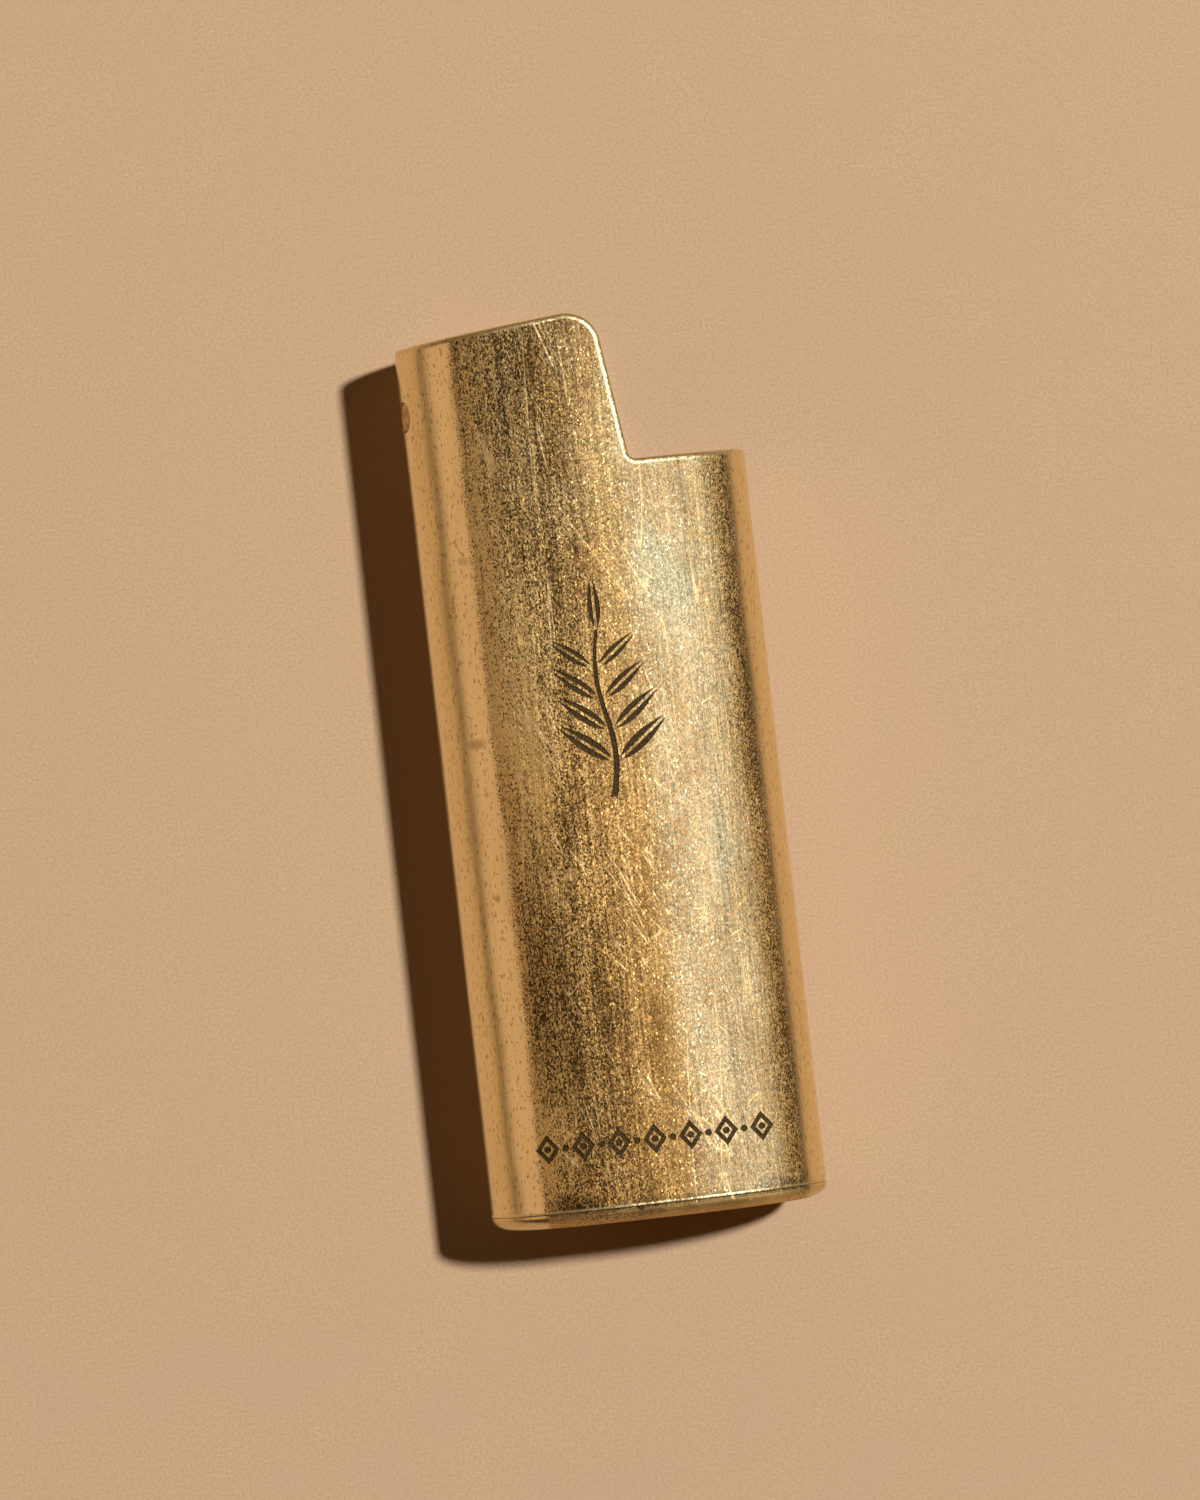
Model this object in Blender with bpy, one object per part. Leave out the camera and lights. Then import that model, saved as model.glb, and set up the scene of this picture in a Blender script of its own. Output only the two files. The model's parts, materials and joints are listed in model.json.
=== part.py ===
"""Oval brass case for a full-size disposable lighter, lying on its back.

X runs across the case with the hood on the -X side, Y runs along it from the base to the open mouth,
and Z is up through its thickness. A drawn sleeve is closed by a stamped base cap. A leaf spring is held
by one rivet inside the hood's narrow side and presses on the lighter.
"""

import math

import bmesh
import bpy
from mathutils import Matrix, Vector

MM = 0.001

# Sleeve, an oval tube whose broad faces have a narrow flat down the middle
CASE_WIDTH = 27.0 * MM
CASE_THICKNESS = 15.8 * MM
BROAD_FLAT_WIDTH = 3.8 * MM
WALL = 0.7 * MM
HOOD_SIDE_HEIGHT = 71.15 * MM
HOOD_SLOPE = math.radians(5.2)
HOOD_WIDTH = 17.76 * MM
HOOD_CORNER_RADIUS = 2.8 * MM
SLANT_LEAN = math.radians(7.6)
THUMB_EDGE_HEIGHT = 60.3 * MM
THUMB_CORNER_RADIUS = 0.6 * MM

# Base cap, stamped from sheet, with a spigot that stands inside the sleeve
BASE_EDGE_RISE = 1.0 * MM
BASE_EDGE_REACH = 2.1 * MM
CAP_RIM = 0.1 * MM
SEAM_GAP = 0.1 * MM
CAP_SHEET = 0.8 * MM
CAP_INNER_RADIUS = 0.6 * MM
SPIGOT_HEIGHT = 3.0 * MM
SPIGOT_CHAMFER = 0.25 * MM
SPIGOT_CLEARANCE = 0.1 * MM
PUSH_HOLE_DIAMETER = 7.0 * MM

# Rivet, countersunk into the hood's narrow side a little above its middle and headed over inside
RIVET_DROP = 5.4 * MM
RIVET_RISE = 1.6 * MM
RIVET_DIAMETER = 2.36 * MM
RIVET_SINK = 0.14 * MM
RIVET_LAND = 0.16 * MM
RIVET_CONE = 0.3 * MM
RIVET_SHANK_DIAMETER = 1.3 * MM
RIVET_HEAD_DIAMETER = 2.6 * MM
RIVET_HEAD_HEIGHT = 0.45 * MM
RIVET_HOLE_CLEARANCE = 0.05 * MM

# Leaf spring, a flat foot round the rivet and a blade that leans in and turns back at its tip
LEAF_WIDTH = 3.2 * MM
LEAF_TIP_WIDTH = 2.4 * MM
LEAF_THICKNESS = 0.3 * MM
LEAF_FOOT = 2.2 * MM
LEAF_BLADE = 14.8 * MM
LEAF_RISE = 0.8 * MM
LEAF_TIP = 1.8 * MM
LEAF_TIP_FALL = 0.2 * MM
LEAF_BEND_RADIUS = 4.0 * MM
LEAF_CREST_RADIUS = 2.5 * MM
LEAF_WALL_CLEARANCE = 0.12 * MM
LEAF_HEAD_CLEARANCE = 0.08 * MM
LEAF_HOLE_CLEARANCE = 0.1 * MM

# How far a cutter runs past what it cuts
OVERRUN = 1.0 * MM

# How finely curves are divided
SIDE_STEPS = 16
HOOD_CORNER_STEPS = 10
THUMB_CORNER_STEPS = 5
LIP_STEPS = 6
EDGE_STEPS = 6
ROUND_STEPS = 32
BEND_STEPS = 4
SHARP_ANGLE = math.radians(35)
COLUMN_MARGIN_SHARE = 0.2
HEAD_CROWN_SHARE = 0.45

# Values that follow from the sizes above
MID_HEIGHT = CASE_THICKNESS / 2
HALF_FLAT = BROAD_FLAT_WIDTH / 2
HALF_WALL = WALL / 2
OVAL_ACROSS = CASE_WIDTH / 2 - HALF_FLAT - HALF_WALL
OVAL_UP = CASE_THICKNESS / 2 - HALF_WALL
SEAM_HEIGHT = BASE_EDGE_RISE + CAP_RIM
SLEEVE_FOOT = SEAM_HEIGHT + SEAM_GAP


def line_meeting(point_a, way_a, point_b, way_b):
    """Where two lines of the outline cross."""
    across = way_a.x * way_b.y - way_a.y * way_b.x
    gap = point_b - point_a
    return point_a + way_a * ((gap.x * way_b.y - gap.y * way_b.x) / across)


# The mouth's outline, seen square to the broad face: hood top, slant and thumb edge, each a point and a way
TOP_WAY = Vector((math.cos(HOOD_SLOPE), math.sin(HOOD_SLOPE)))
TOP_OUT = Vector((-TOP_WAY.y, TOP_WAY.x))
TOP_START = Vector((-CASE_WIDTH / 2, HOOD_SIDE_HEIGHT))
SLANT_WAY = Vector((math.sin(SLANT_LEAN), -math.cos(SLANT_LEAN)))
SLANT_OUT = Vector((-SLANT_WAY.y, SLANT_WAY.x))
SLANT_END = Vector((HOOD_WIDTH - CASE_WIDTH / 2, THUMB_EDGE_HEIGHT))
THUMB_WAY = Vector((1, 0))
THUMB_OUT = Vector((0, 1))
HOOD_CORNER = line_meeting(
    TOP_START - TOP_OUT * HOOD_CORNER_RADIUS, TOP_WAY, SLANT_END - SLANT_OUT * HOOD_CORNER_RADIUS, SLANT_WAY
)
THUMB_CORNER = line_meeting(
    SLANT_END + SLANT_OUT * THUMB_CORNER_RADIUS, SLANT_WAY, SLANT_END + THUMB_OUT * THUMB_CORNER_RADIUS, THUMB_WAY
)
CASE_LENGTH = HOOD_CORNER.y + HOOD_CORNER_RADIUS

BRASS_COLOUR = (0.62, 0.42, 0.17, 1)
BRASS_ROUGHNESS = 0.38
CAP_ROUGHNESS = 0.42
RIVET_COLOUR = (0.58, 0.36, 0.15, 1)
RIVET_ROUGHNESS = 0.45
SPRING_COLOUR = (0.55, 0.34, 0.2, 1)
SPRING_ROUGHNESS = 0.3


def section_frame(shift, turn):
    """The point of the wall's middle line at a turn round the oval, and the outward direction there."""
    middle = Vector((shift + OVAL_ACROSS * math.cos(turn), 0, MID_HEIGHT + OVAL_UP * math.sin(turn)))
    outward = Vector((math.cos(turn) / OVAL_ACROSS, 0, math.sin(turn) / OVAL_UP)).normalized()
    return middle, outward


def section_point(shift, turn, inset, y):
    """A point at a depth below the oval's outer surface, on a line square to that surface."""
    middle, outward = section_frame(shift, turn)
    return middle + outward * (HALF_WALL - inset) + Vector((0, y, 0))


def front_column(x):
    """(shift, turn) of the place on the front half whose middle line is at x."""
    if abs(x) <= HALF_FLAT:
        return x, math.pi / 2
    shift = math.copysign(HALF_FLAT, x)
    return shift, math.acos(max(-1, min(1, (x - shift) / OVAL_ACROSS)))


def quarter_places():
    """Distances from the middle to the columns of one quarter of the oval, from its narrow end inwards."""
    return [HALF_FLAT + OVAL_ACROSS * math.cos(math.pi / 2 * step / SIDE_STEPS) for step in range(SIDE_STEPS + 1)]


def cap_columns():
    """(shift, turn) once round the whole oval, from the hood side over the front."""
    front = [front_column(-place) for place in quarter_places()]
    front += [front_column(place) for place in reversed(quarter_places())]
    back = [(shift, -turn) for shift, turn in reversed(front[1:-1])]
    return front + back


def arc_rim(centre, radius, start, end, steps, heading):
    """Rim places along an arc: where the lip's middle is, and which way the rim runs there."""
    places = []
    for step in range(steps + 1):
        turn = start + (end - start) * step / steps
        out = Vector((math.cos(turn), math.sin(turn)))
        way = Vector((-out.y, out.x)) * heading
        places.append((centre + out * radius, way))
    return places


def front_rim():
    """Rim places over the front half, from the hood's narrow side to the thumb side."""
    top_turn = math.pi / 2 + HOOD_SLOPE
    hood_arc = arc_rim(
        HOOD_CORNER, HOOD_CORNER_RADIUS - HALF_WALL, math.pi / 2, SLANT_LEAN, HOOD_CORNER_STEPS, -1
    )
    hood_start = arc_rim(HOOD_CORNER, HOOD_CORNER_RADIUS - HALF_WALL, top_turn, math.pi / 2, 1, -1)[:1]
    thumb_arc = arc_rim(
        THUMB_CORNER,
        THUMB_CORNER_RADIUS + HALF_WALL,
        math.pi + SLANT_LEAN,
        math.pi * 3 / 2,
        THUMB_CORNER_STEPS,
        1,
    )
    corners = hood_start + hood_arc + thumb_arc
    margin = COLUMN_MARGIN_SHARE * OVAL_ACROSS / SIDE_STEPS
    first, last = corners[0][0].x - margin, corners[-1][0].x + margin
    top_start = TOP_START - TOP_OUT * HALF_WALL
    hood = []
    thumb = []
    for place in sorted({side * place for place in quarter_places() for side in (-1, 1)}):
        if place < first:
            height = top_start.y + (place - top_start.x) * TOP_WAY.y / TOP_WAY.x
            hood.append((Vector((place, height)), TOP_WAY))
        elif place > last:
            thumb.append((Vector((place, THUMB_EDGE_HEIGHT - HALF_WALL)), THUMB_WAY))
    return hood + corners + thumb


def sleeve_column(place, way):
    """One column of the sleeve from its outer foot, over the rounded lip, to its inner foot."""
    shift, turn = front_column(place.x)
    middle, outward = section_frame(shift, turn)
    along = Vector((outward.z, 0, -outward.x))
    rim_way = along * way.x + Vector((0, way.y * along.x, 0))
    lip_out = outward.cross(rim_way).normalized()
    crest = middle + Vector((0, place.y, 0))
    column = [section_point(shift, turn, 0, SLEEVE_FOOT)]
    for step in range(LIP_STEPS + 1):
        roll = math.pi * step / LIP_STEPS
        column.append(crest + (outward * math.cos(roll) + lip_out * math.sin(roll)) * HALF_WALL)
    column.append(section_point(shift, turn, WALL, SLEEVE_FOOT))
    return column


def add_ring(bm, points):
    return [bm.verts.new(point) for point in points]


def bridge(bm, ring, following):
    """Quads between two closed rings of as many points."""
    count = len(ring)
    for index in range(count):
        after = (index + 1) % count
        bm.faces.new((ring[index], ring[after], following[after], following[index]))


def bridge_all(bm, rings):
    """Quads between each ring and the following one, and from the last back to the first."""
    for index, ring in enumerate(rings):
        bridge(bm, ring, rings[(index + 1) % len(rings)])


def metal(name, colour, roughness):
    material = bpy.data.materials.new(name)
    material.use_nodes = True
    shader = material.node_tree.nodes["Principled BSDF"]
    shader.inputs["Base Color"].default_value = colour
    shader.inputs["Metallic"].default_value = 1
    shader.inputs["Roughness"].default_value = roughness
    return material


def piece(name, bm, parent, material):
    """A named object from a mesh, placed on its parent, with its faces turned outwards."""
    bmesh.ops.recalc_face_normals(bm, faces=bm.faces)
    mesh = bpy.data.meshes.new(name)
    bm.to_mesh(mesh)
    bm.free()
    mesh.shade_smooth()
    mesh.set_sharp_from_angle(angle=SHARP_ANGLE)
    if material:
        mesh.materials.append(material)
    obj = bpy.data.objects.new(name, mesh)
    bpy.context.collection.objects.link(obj)
    obj.parent = parent
    return obj


def cut(target, cutter):
    cutter.hide_render = True
    cutter.display_type = "WIRE"
    modifier = target.modifiers.new(cutter.name, "BOOLEAN")
    modifier.operation = "DIFFERENCE"
    modifier.solver = "EXACT"
    modifier.object = cutter


def turned(name, profile, parent, material=None):
    """A solid turned about its own X axis from (depth, radius) points, with flat ends."""
    bm = bmesh.new()
    rings = []
    for depth, radius in profile:
        turns = [math.tau * step / ROUND_STEPS for step in range(ROUND_STEPS)]
        rings.append(add_ring(bm, [(depth, radius * math.cos(turn), radius * math.sin(turn)) for turn in turns]))
    for ring, following in zip(rings, rings[1:]):
        bridge(bm, ring, following)
    bm.faces.new(rings[0])
    bm.faces.new(rings[-1])
    return piece(name, bm, parent, material)


def make_sleeve(frame):
    """Oval tube: the front half's columns, and their mirror images on the back."""
    front = [sleeve_column(place, way) for place, way in front_rim()]
    back = [[Vector((p.x, p.y, CASE_THICKNESS - p.z)) for p in column] for column in reversed(front[1:-1])]
    columns = front + back
    bm = bmesh.new()
    bridge_all(bm, [add_ring(bm, points) for points in zip(*columns)])
    return piece("sleeve", bm, frame, metal("drawn_brass", BRASS_COLOUR, BRASS_ROUGHNESS))


def cap_profile():
    """(inset, height) points of the cap's section, from the underside out, up and back in to the floor."""
    points = []
    for step in range(EDGE_STEPS + 1):
        turn = math.pi / 2 * step / EDGE_STEPS
        points.append((BASE_EDGE_REACH * (1 - math.sin(turn)), BASE_EDGE_RISE * (1 - math.cos(turn))))
    spigot = WALL + SPIGOT_CLEARANCE
    bore = spigot + CAP_SHEET
    top = SEAM_HEIGHT + SPIGOT_HEIGHT
    points.append((0, SEAM_HEIGHT))
    points.append((spigot, SEAM_HEIGHT))
    points.append((spigot, top - SPIGOT_CHAMFER))
    points.append((spigot + SPIGOT_CHAMFER, top))
    points.append((bore, top))
    for step in range(EDGE_STEPS + 1):
        turn = math.pi / 2 * step / EDGE_STEPS
        inset = bore + CAP_INNER_RADIUS * (1 - math.cos(turn))
        points.append((inset, CAP_SHEET + CAP_INNER_RADIUS * (1 - math.sin(turn))))
    return points


def make_base_cap(frame):
    """Stamped cap: oval rings along its section, closed through the round hole in its floor."""
    columns = cap_columns()
    directions = []
    for shift, turn in columns:
        outer = section_point(shift, turn, 0, 0)
        directions.append(Vector((outer.x / CASE_WIDTH, (outer.z - MID_HEIGHT) / CASE_THICKNESS)).normalized())
    bm = bmesh.new()
    rings = []
    for inset, height in cap_profile():
        rings.append(add_ring(bm, [section_point(shift, turn, inset, height) for shift, turn in columns]))
    radius = PUSH_HOLE_DIAMETER / 2
    for height in (CAP_SHEET, 0):
        rings.append(add_ring(bm, [(way.x * radius, height, MID_HEIGHT + way.y * radius) for way in directions]))
    bridge_all(bm, rings)
    return piece("base_cap", bm, frame, metal("stamped_brass", BRASS_COLOUR, CAP_ROUGHNESS))


def rivet_turn():
    """The turn round the oval, on the hood's narrow side, at which the outer surface is at the rivet's rise."""
    turn = math.pi
    for _ in range(ROUND_STEPS):
        middle, outward = section_frame(-HALF_FLAT, turn)
        rise = middle.z + outward.z * HALF_WALL - MID_HEIGHT
        turn -= (RIVET_RISE - rise) / (OVAL_UP + HALF_WALL)
    return turn


def rivet_seat(frame):
    """An empty on the sleeve's surface at the rivet, with its X axis pointing straight into the wall."""
    turn = rivet_turn()
    outward = section_frame(-HALF_FLAT, turn)[1]
    seat = bpy.data.objects.new("rivet_seat", None)
    bpy.context.collection.objects.link(seat)
    seat.parent = frame
    seat.location = section_point(-HALF_FLAT, turn, 0, HOOD_SIDE_HEIGHT - RIVET_DROP)
    seat.rotation_euler = (0, math.atan2(outward.z, -outward.x), 0)
    return seat


def leaf_depth():
    """Depth of the leaf foot's outer face below the rivet's place on the surface.

    The flat foot meets the curved wall along the edges of its width, so the bow of the wall over that
    width comes on top of the wall itself.
    """
    turn = rivet_turn()
    across = OVAL_ACROSS * math.sin(turn)
    up = OVAL_UP * math.cos(turn)
    bend = math.pow(across * across + up * up, 3 / 2) / (OVAL_ACROSS * OVAL_UP) - HALF_WALL
    half = LEAF_WIDTH / 2
    bow = bend - math.sqrt(max(bend * bend - half * half, 0))
    return WALL + bow + LEAF_WALL_CLEARANCE


def make_rivet(seat, sleeve):
    """Countersunk rivet, the matching hole in the sleeve, and the head inside."""
    shank = RIVET_SHANK_DIAMETER / 2
    outer = RIVET_DIAMETER / 2
    head = RIVET_HEAD_DIAMETER / 2
    land = RIVET_SINK + RIVET_LAND
    under_head = leaf_depth() + LEAF_THICKNESS + LEAF_HEAD_CLEARANCE
    crown = under_head + RIVET_HEAD_HEIGHT
    shoulder = crown - RIVET_HEAD_HEIGHT * HEAD_CROWN_SHARE
    profile = [(RIVET_SINK, outer), (land, outer), (land + RIVET_CONE, shank), (under_head, shank)]
    profile += [(under_head, head), (shoulder, head)]
    for step in range(1, EDGE_STEPS):
        turn = math.pi / 2 * step / EDGE_STEPS
        profile.append((shoulder + (crown - shoulder) * math.sin(turn), head * math.cos(turn)))
    rivet = turned("spring_rivet", profile, seat, metal("rivet_brass", RIVET_COLOUR, RIVET_ROUGHNESS))

    gap = RIVET_HOLE_CLEARANCE
    hole = [(-OVERRUN, outer + gap), (land + gap, outer + gap), (land + RIVET_CONE + gap, shank + gap)]
    hole.append((WALL + OVERRUN, shank + gap))
    cut(sleeve, turned("rivet_hole", hole, seat))
    return rivet


def rounded_line(points, radii):
    """Points along straight runs whose inner corners are replaced by arcs of the given radii."""
    line = [points[0]]
    for before, corner, after, radius in zip(points, points[1:], points[2:], radii):
        way_in = (corner - before).normalized()
        way_out = (after - corner).normalized()
        bend = way_in.angle_signed(way_out)
        reach = min(radius * math.tan(abs(bend) / 2), (corner - before).length / 2, (after - corner).length / 2)
        start = corner - way_in * reach
        end = corner + way_out * reach
        for step in range(BEND_STEPS + 1):
            share = step / BEND_STEPS
            near = start.lerp(corner, share)
            far = corner.lerp(end, share)
            line.append(near.lerp(far, share))
    line.append(points[-1])
    return line


def leaf_stations():
    """(middle, half width) pairs down the leaf from its round upper end, in the rivet's depth and Y."""
    middle = leaf_depth() + LEAF_THICKNESS / 2
    half = LEAF_WIDTH / 2
    stations = []
    for step in range(1, EDGE_STEPS):
        turn = math.pi / 2 * step / EDGE_STEPS
        stations.append((Vector((middle, half * math.cos(turn))), half * math.sin(turn)))
    crest = middle + LEAF_RISE
    corners = [
        Vector((middle, 0)),
        Vector((middle, -LEAF_FOOT)),
        Vector((crest, -LEAF_FOOT - LEAF_BLADE)),
        Vector((crest - LEAF_TIP_FALL, -LEAF_FOOT - LEAF_BLADE - LEAF_TIP)),
    ]
    line = rounded_line(corners, (LEAF_BEND_RADIUS, LEAF_CREST_RADIUS))
    for point in line:
        taper = max(-point.y - LEAF_FOOT, 0) / (LEAF_BLADE + LEAF_TIP)
        stations.append((point, half + (LEAF_TIP_WIDTH / 2 - half) * taper))
    return stations


def make_grip_spring(seat):
    """Leaf spring with its origin where it flexes, on the rivet's axis in the middle of the foot's thickness."""
    stations = leaf_stations()
    hinge_depth = leaf_depth() + LEAF_THICKNESS / 2
    bm = bmesh.new()
    rings = []
    for index, (point, half) in enumerate(stations):
        before = stations[max(index - 1, 0)][0]
        after = stations[min(index + 1, len(stations) - 1)][0]
        way = (after - before).normalized()
        side = Vector((-way.y, way.x)) * LEAF_THICKNESS / 2
        inner = point + side
        outer = point - side
        corners = [(outer, -half), (outer, half), (inner, half), (inner, -half)]
        rings.append(add_ring(bm, [(at.x - hinge_depth, at.y, width) for at, width in corners]))
    for ring, following in zip(rings, rings[1:]):
        bridge(bm, ring, following)
    bm.faces.new(rings[0])
    bm.faces.new(rings[-1])
    leaf = piece("grip_spring", bm, seat, metal("spring_bronze", SPRING_COLOUR, SPRING_ROUGHNESS))
    leaf.location = (hinge_depth, 0, 0)
    radius = RIVET_SHANK_DIAMETER / 2 + LEAF_HOLE_CLEARANCE
    cut(leaf, turned("leaf_hole", [(0, radius), (hinge_depth + OVERRUN, radius)], seat))
    return leaf


def clear_scene():
    for obj in list(bpy.data.objects):
        bpy.data.objects.remove(obj)


def main():
    clear_scene()
    frame = bpy.data.objects.new("case_frame", None)
    bpy.context.collection.objects.link(frame)
    frame.matrix_world = Matrix.Translation((0, -CASE_LENGTH / 2, 0))
    sleeve = make_sleeve(frame)
    make_base_cap(frame)
    seat = rivet_seat(frame)
    make_rivet(seat, sleeve)
    make_grip_spring(seat)


main()
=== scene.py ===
# %% [markdown]
# # A brass sleeve for a disposable lighter
#
# An oval brass tube takes a full-size disposable lighter. Its mouth has a raised hood on one side and a low
# notch for the thumb on the other. A stamped cap closes its base, and a rivet in the narrow side holds a
# leaf spring inside. It lies on its back on warm paper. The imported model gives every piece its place.

import json
import math

import bmesh
import bpy
from mathutils import Matrix, Vector

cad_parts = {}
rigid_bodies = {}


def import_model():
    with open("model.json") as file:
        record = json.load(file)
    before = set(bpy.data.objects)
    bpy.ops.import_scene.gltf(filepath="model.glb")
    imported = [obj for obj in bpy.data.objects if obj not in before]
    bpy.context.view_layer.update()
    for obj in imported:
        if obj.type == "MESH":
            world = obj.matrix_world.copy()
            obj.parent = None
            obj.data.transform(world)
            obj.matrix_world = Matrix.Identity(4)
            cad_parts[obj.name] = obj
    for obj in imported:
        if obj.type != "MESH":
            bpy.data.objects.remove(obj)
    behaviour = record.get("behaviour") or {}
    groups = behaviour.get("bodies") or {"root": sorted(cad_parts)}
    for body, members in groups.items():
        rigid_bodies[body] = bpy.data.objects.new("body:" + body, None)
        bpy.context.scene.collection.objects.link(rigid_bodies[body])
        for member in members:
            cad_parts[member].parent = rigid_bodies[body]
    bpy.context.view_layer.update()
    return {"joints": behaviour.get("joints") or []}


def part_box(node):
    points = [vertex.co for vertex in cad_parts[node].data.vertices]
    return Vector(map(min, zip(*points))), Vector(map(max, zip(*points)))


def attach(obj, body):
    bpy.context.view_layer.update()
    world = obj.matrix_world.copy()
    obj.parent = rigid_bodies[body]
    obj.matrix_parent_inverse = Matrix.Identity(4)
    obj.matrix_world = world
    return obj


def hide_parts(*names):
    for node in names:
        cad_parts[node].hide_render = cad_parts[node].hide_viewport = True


for leftover in list(bpy.data.objects):
    bpy.data.objects.remove(leftover)
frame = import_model()

# %% [markdown]
# ## Sizes
#
# The overall sizes come from the solids. A box can't tell a wall's thickness or an edge's slope, so these
# are written here in millimetres. The case's section is an oval: an ellipse along the middle of the wall,
# cut in two and moved apart by a narrow flat.

# %% Sizes
MM = 0.001

SLEEVE_LOW, SLEEVE_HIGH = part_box("sleeve")
CAP_LOW, CAP_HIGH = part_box("base_cap")

CASE_WIDTH = SLEEVE_HIGH.x - SLEEVE_LOW.x
CASE_THICKNESS = SLEEVE_HIGH.z - SLEEVE_LOW.z
BASE_Y = CAP_LOW.y
SLEEVE_FOOT_Y = SLEEVE_LOW.y
MOUTH_Y = SLEEVE_HIGH.y
MID_Z = (SLEEVE_LOW.z + SLEEVE_HIGH.z) / 2

WALL = 0.7 * MM
HALF_WALL = WALL / 2
HALF_FLAT = 1.9 * MM
OVAL_ACROSS = CASE_WIDTH / 2 - HALF_FLAT - HALF_WALL
OVAL_UP = CASE_THICKNESS / 2 - HALF_WALL
OVAL_SIDES = 240

print("case %.1f x %.1f mm" % (CASE_WIDTH / MM, CASE_THICKNESS / MM))

# %% [markdown]
# ## Colours and nodes
#
# Colours are sRGB hex values, as a picker shows them, turned to the linear values that shaders use. One
# function adds a node, sets its fields and fills its inputs.

# %% Colour and node helpers
def hex_colour(code):
    """An sRGB hex colour as linear red, green, blue and alpha."""
    channels = []
    for start in (0, 2, 4):
        share = int(code[start:start + 2], 16) / 255
        channels.append(share / 12.92 if share <= 0.04045 else ((share + 0.055) / 1.055) ** 2.4)
    return (*channels, 1)


def fill(node, inputs):
    """Fills a node's inputs with values, hex colours or other nodes' sockets."""
    for name, value in inputs.items():
        if isinstance(value, bpy.types.NodeSocket):
            node.id_data.links.new(value, node.inputs[name])
        else:
            node.inputs[name].default_value = hex_colour(value) if isinstance(value, str) else value


def add_node(kind, inputs=None, tree=None, **settings):
    """Adds one node to a tree, or beside the nodes that feed it. Settings are its own fields."""
    inputs = inputs or {}
    feeds = [value for value in inputs.values() if isinstance(value, bpy.types.NodeSocket)]
    node = (tree or feeds[0].id_data).nodes.new("ShaderNode" + kind)
    for field, value in settings.items():
        setattr(node, field, value)
    fill(node, inputs)
    return node


def new_material(name):
    """A new material, its Principled shader and the case's own coordinates."""
    material = bpy.data.materials.new(name)
    material.use_nodes = True
    tree = material.node_tree
    tree.nodes.clear()
    shader = add_node("BsdfPrincipled", tree=tree)
    add_node("OutputMaterial", {"Surface": shader.outputs["BSDF"]})
    return material, shader, add_node("TexCoord", tree=tree).outputs["Object"]


# %% [markdown]
# ## Layers
#
# Every finish is built in layers over the case's own coordinates: textures with blobs of a real size,
# smooth steps, oval patches and coats of colour.

# %% Layer helpers
PATCH_CORE_SHARE = 0.3


def join(operation, *values, kind="Math"):
    """Joins any number of values by one operation."""
    result = values[0]
    for value in values[1:]:
        result = add_node(kind, {0: result, 1: value}, operation=operation).outputs[0]
    return result


def join_vectors(operation, *vectors):
    return join(operation, *vectors, kind="VectorMath")


def total(*values):
    return join("ADD", *values)


def times(*values):
    return join("MULTIPLY", *values)


def highest(*values):
    return join("MAXIMUM", *values)


def less(value, taken):
    return join("SUBTRACT", value, taken)


def distance(value, middle):
    """How far a value is from a middle one, either way."""
    return add_node("Math", {0: less(value, middle)}, operation="ABSOLUTE").outputs[0]


def fade(value, start, end, low=0.0, high=1.0):
    """A smooth step from the low to the high value while the input runs from start to end."""
    run = {"Value": value, "From Min": start, "From Max": end, "To Min": low, "To Max": high}
    return add_node("MapRange", run, interpolation_type="SMOOTHSTEP").outputs["Result"]


def coat(share, under, over, blend="MIX"):
    """One colour laid over another by a share."""
    colours = {0: share, 6: under, 7: over}
    return add_node("Mix", colours, data_type="RGBA", blend_type=blend).outputs[2]


def texture(place, size, stretch=1.0, detail=1.0, turn=0.0, kind="TexNoise"):
    """A texture with blobs of a real size, longer along the case (or at a turn to it) by the stretch."""
    if turn:
        turning = {"Vector": place, "Angle": turn}
        place = add_node("VectorRotate", turning, rotation_type="Z_AXIS").outputs[0]
    place = join_vectors("MULTIPLY", place, (1 / size, 1 / (size * stretch), 1 / size))
    return add_node(kind, {"Vector": place, "Scale": 1.0, "Detail": detail})


def grain(place, size, **settings):
    """The strength of such a texture."""
    return texture(place, size, **settings).outputs["Fac"]


def reaches(place, middle, reach):
    """How many reaches a place is away from a middle. An endless reach leaves its direction out."""
    away = join_vectors("SUBTRACT", place, middle)
    away = join_vectors("MULTIPLY", away, [1 / length for length in reach])
    return add_node("VectorMath", {0: away}, operation="LENGTH").outputs["Value"]


def patches(place, table):
    """The strongest of a table's oval patches at each place, seen from the front."""
    shares = []
    for x, y, across_reach, along_reach, strength in table:
        reach = (across_reach * MM, along_reach * MM, math.inf)
        away = reaches(place, (x * MM, y * MM, 0), reach)
        shares.append(times(fade(away, 1, PATCH_CORE_SHARE), strength))
    return highest(*shares)


def across(edge, steps):
    """The sum of a table's smooth steps across the case."""
    return total(*[fade(edge, start * MM, end * MM, *ends) for start, end, *ends in steps])


def pushed(colours, tilt, ways=(1, 1, 1)):
    """How a texture's random colour tilts the surface, in the ways given."""
    away = join_vectors("SUBTRACT", colours.outputs["Color"], (0.5, 0.5, 0.5))
    return join_vectors("MULTIPLY", away, [tilt * way for way in ways])


def finish_metal(shader, colour, roughness, *tilts):
    """Gives a metal its colour and roughness, and tilts its surface by all the tilts together."""
    flat = add_node("NewGeometry", tree=shader.id_data).outputs["Normal"]
    tilted = join_vectors("ADD", flat, *tilts)
    normal = add_node("VectorMath", {0: tilted}, operation="NORMALIZE").outputs[0]
    fill(shader, {"Base Color": colour, "Roughness": roughness, "Normal": normal, "Metallic": 1})


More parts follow.
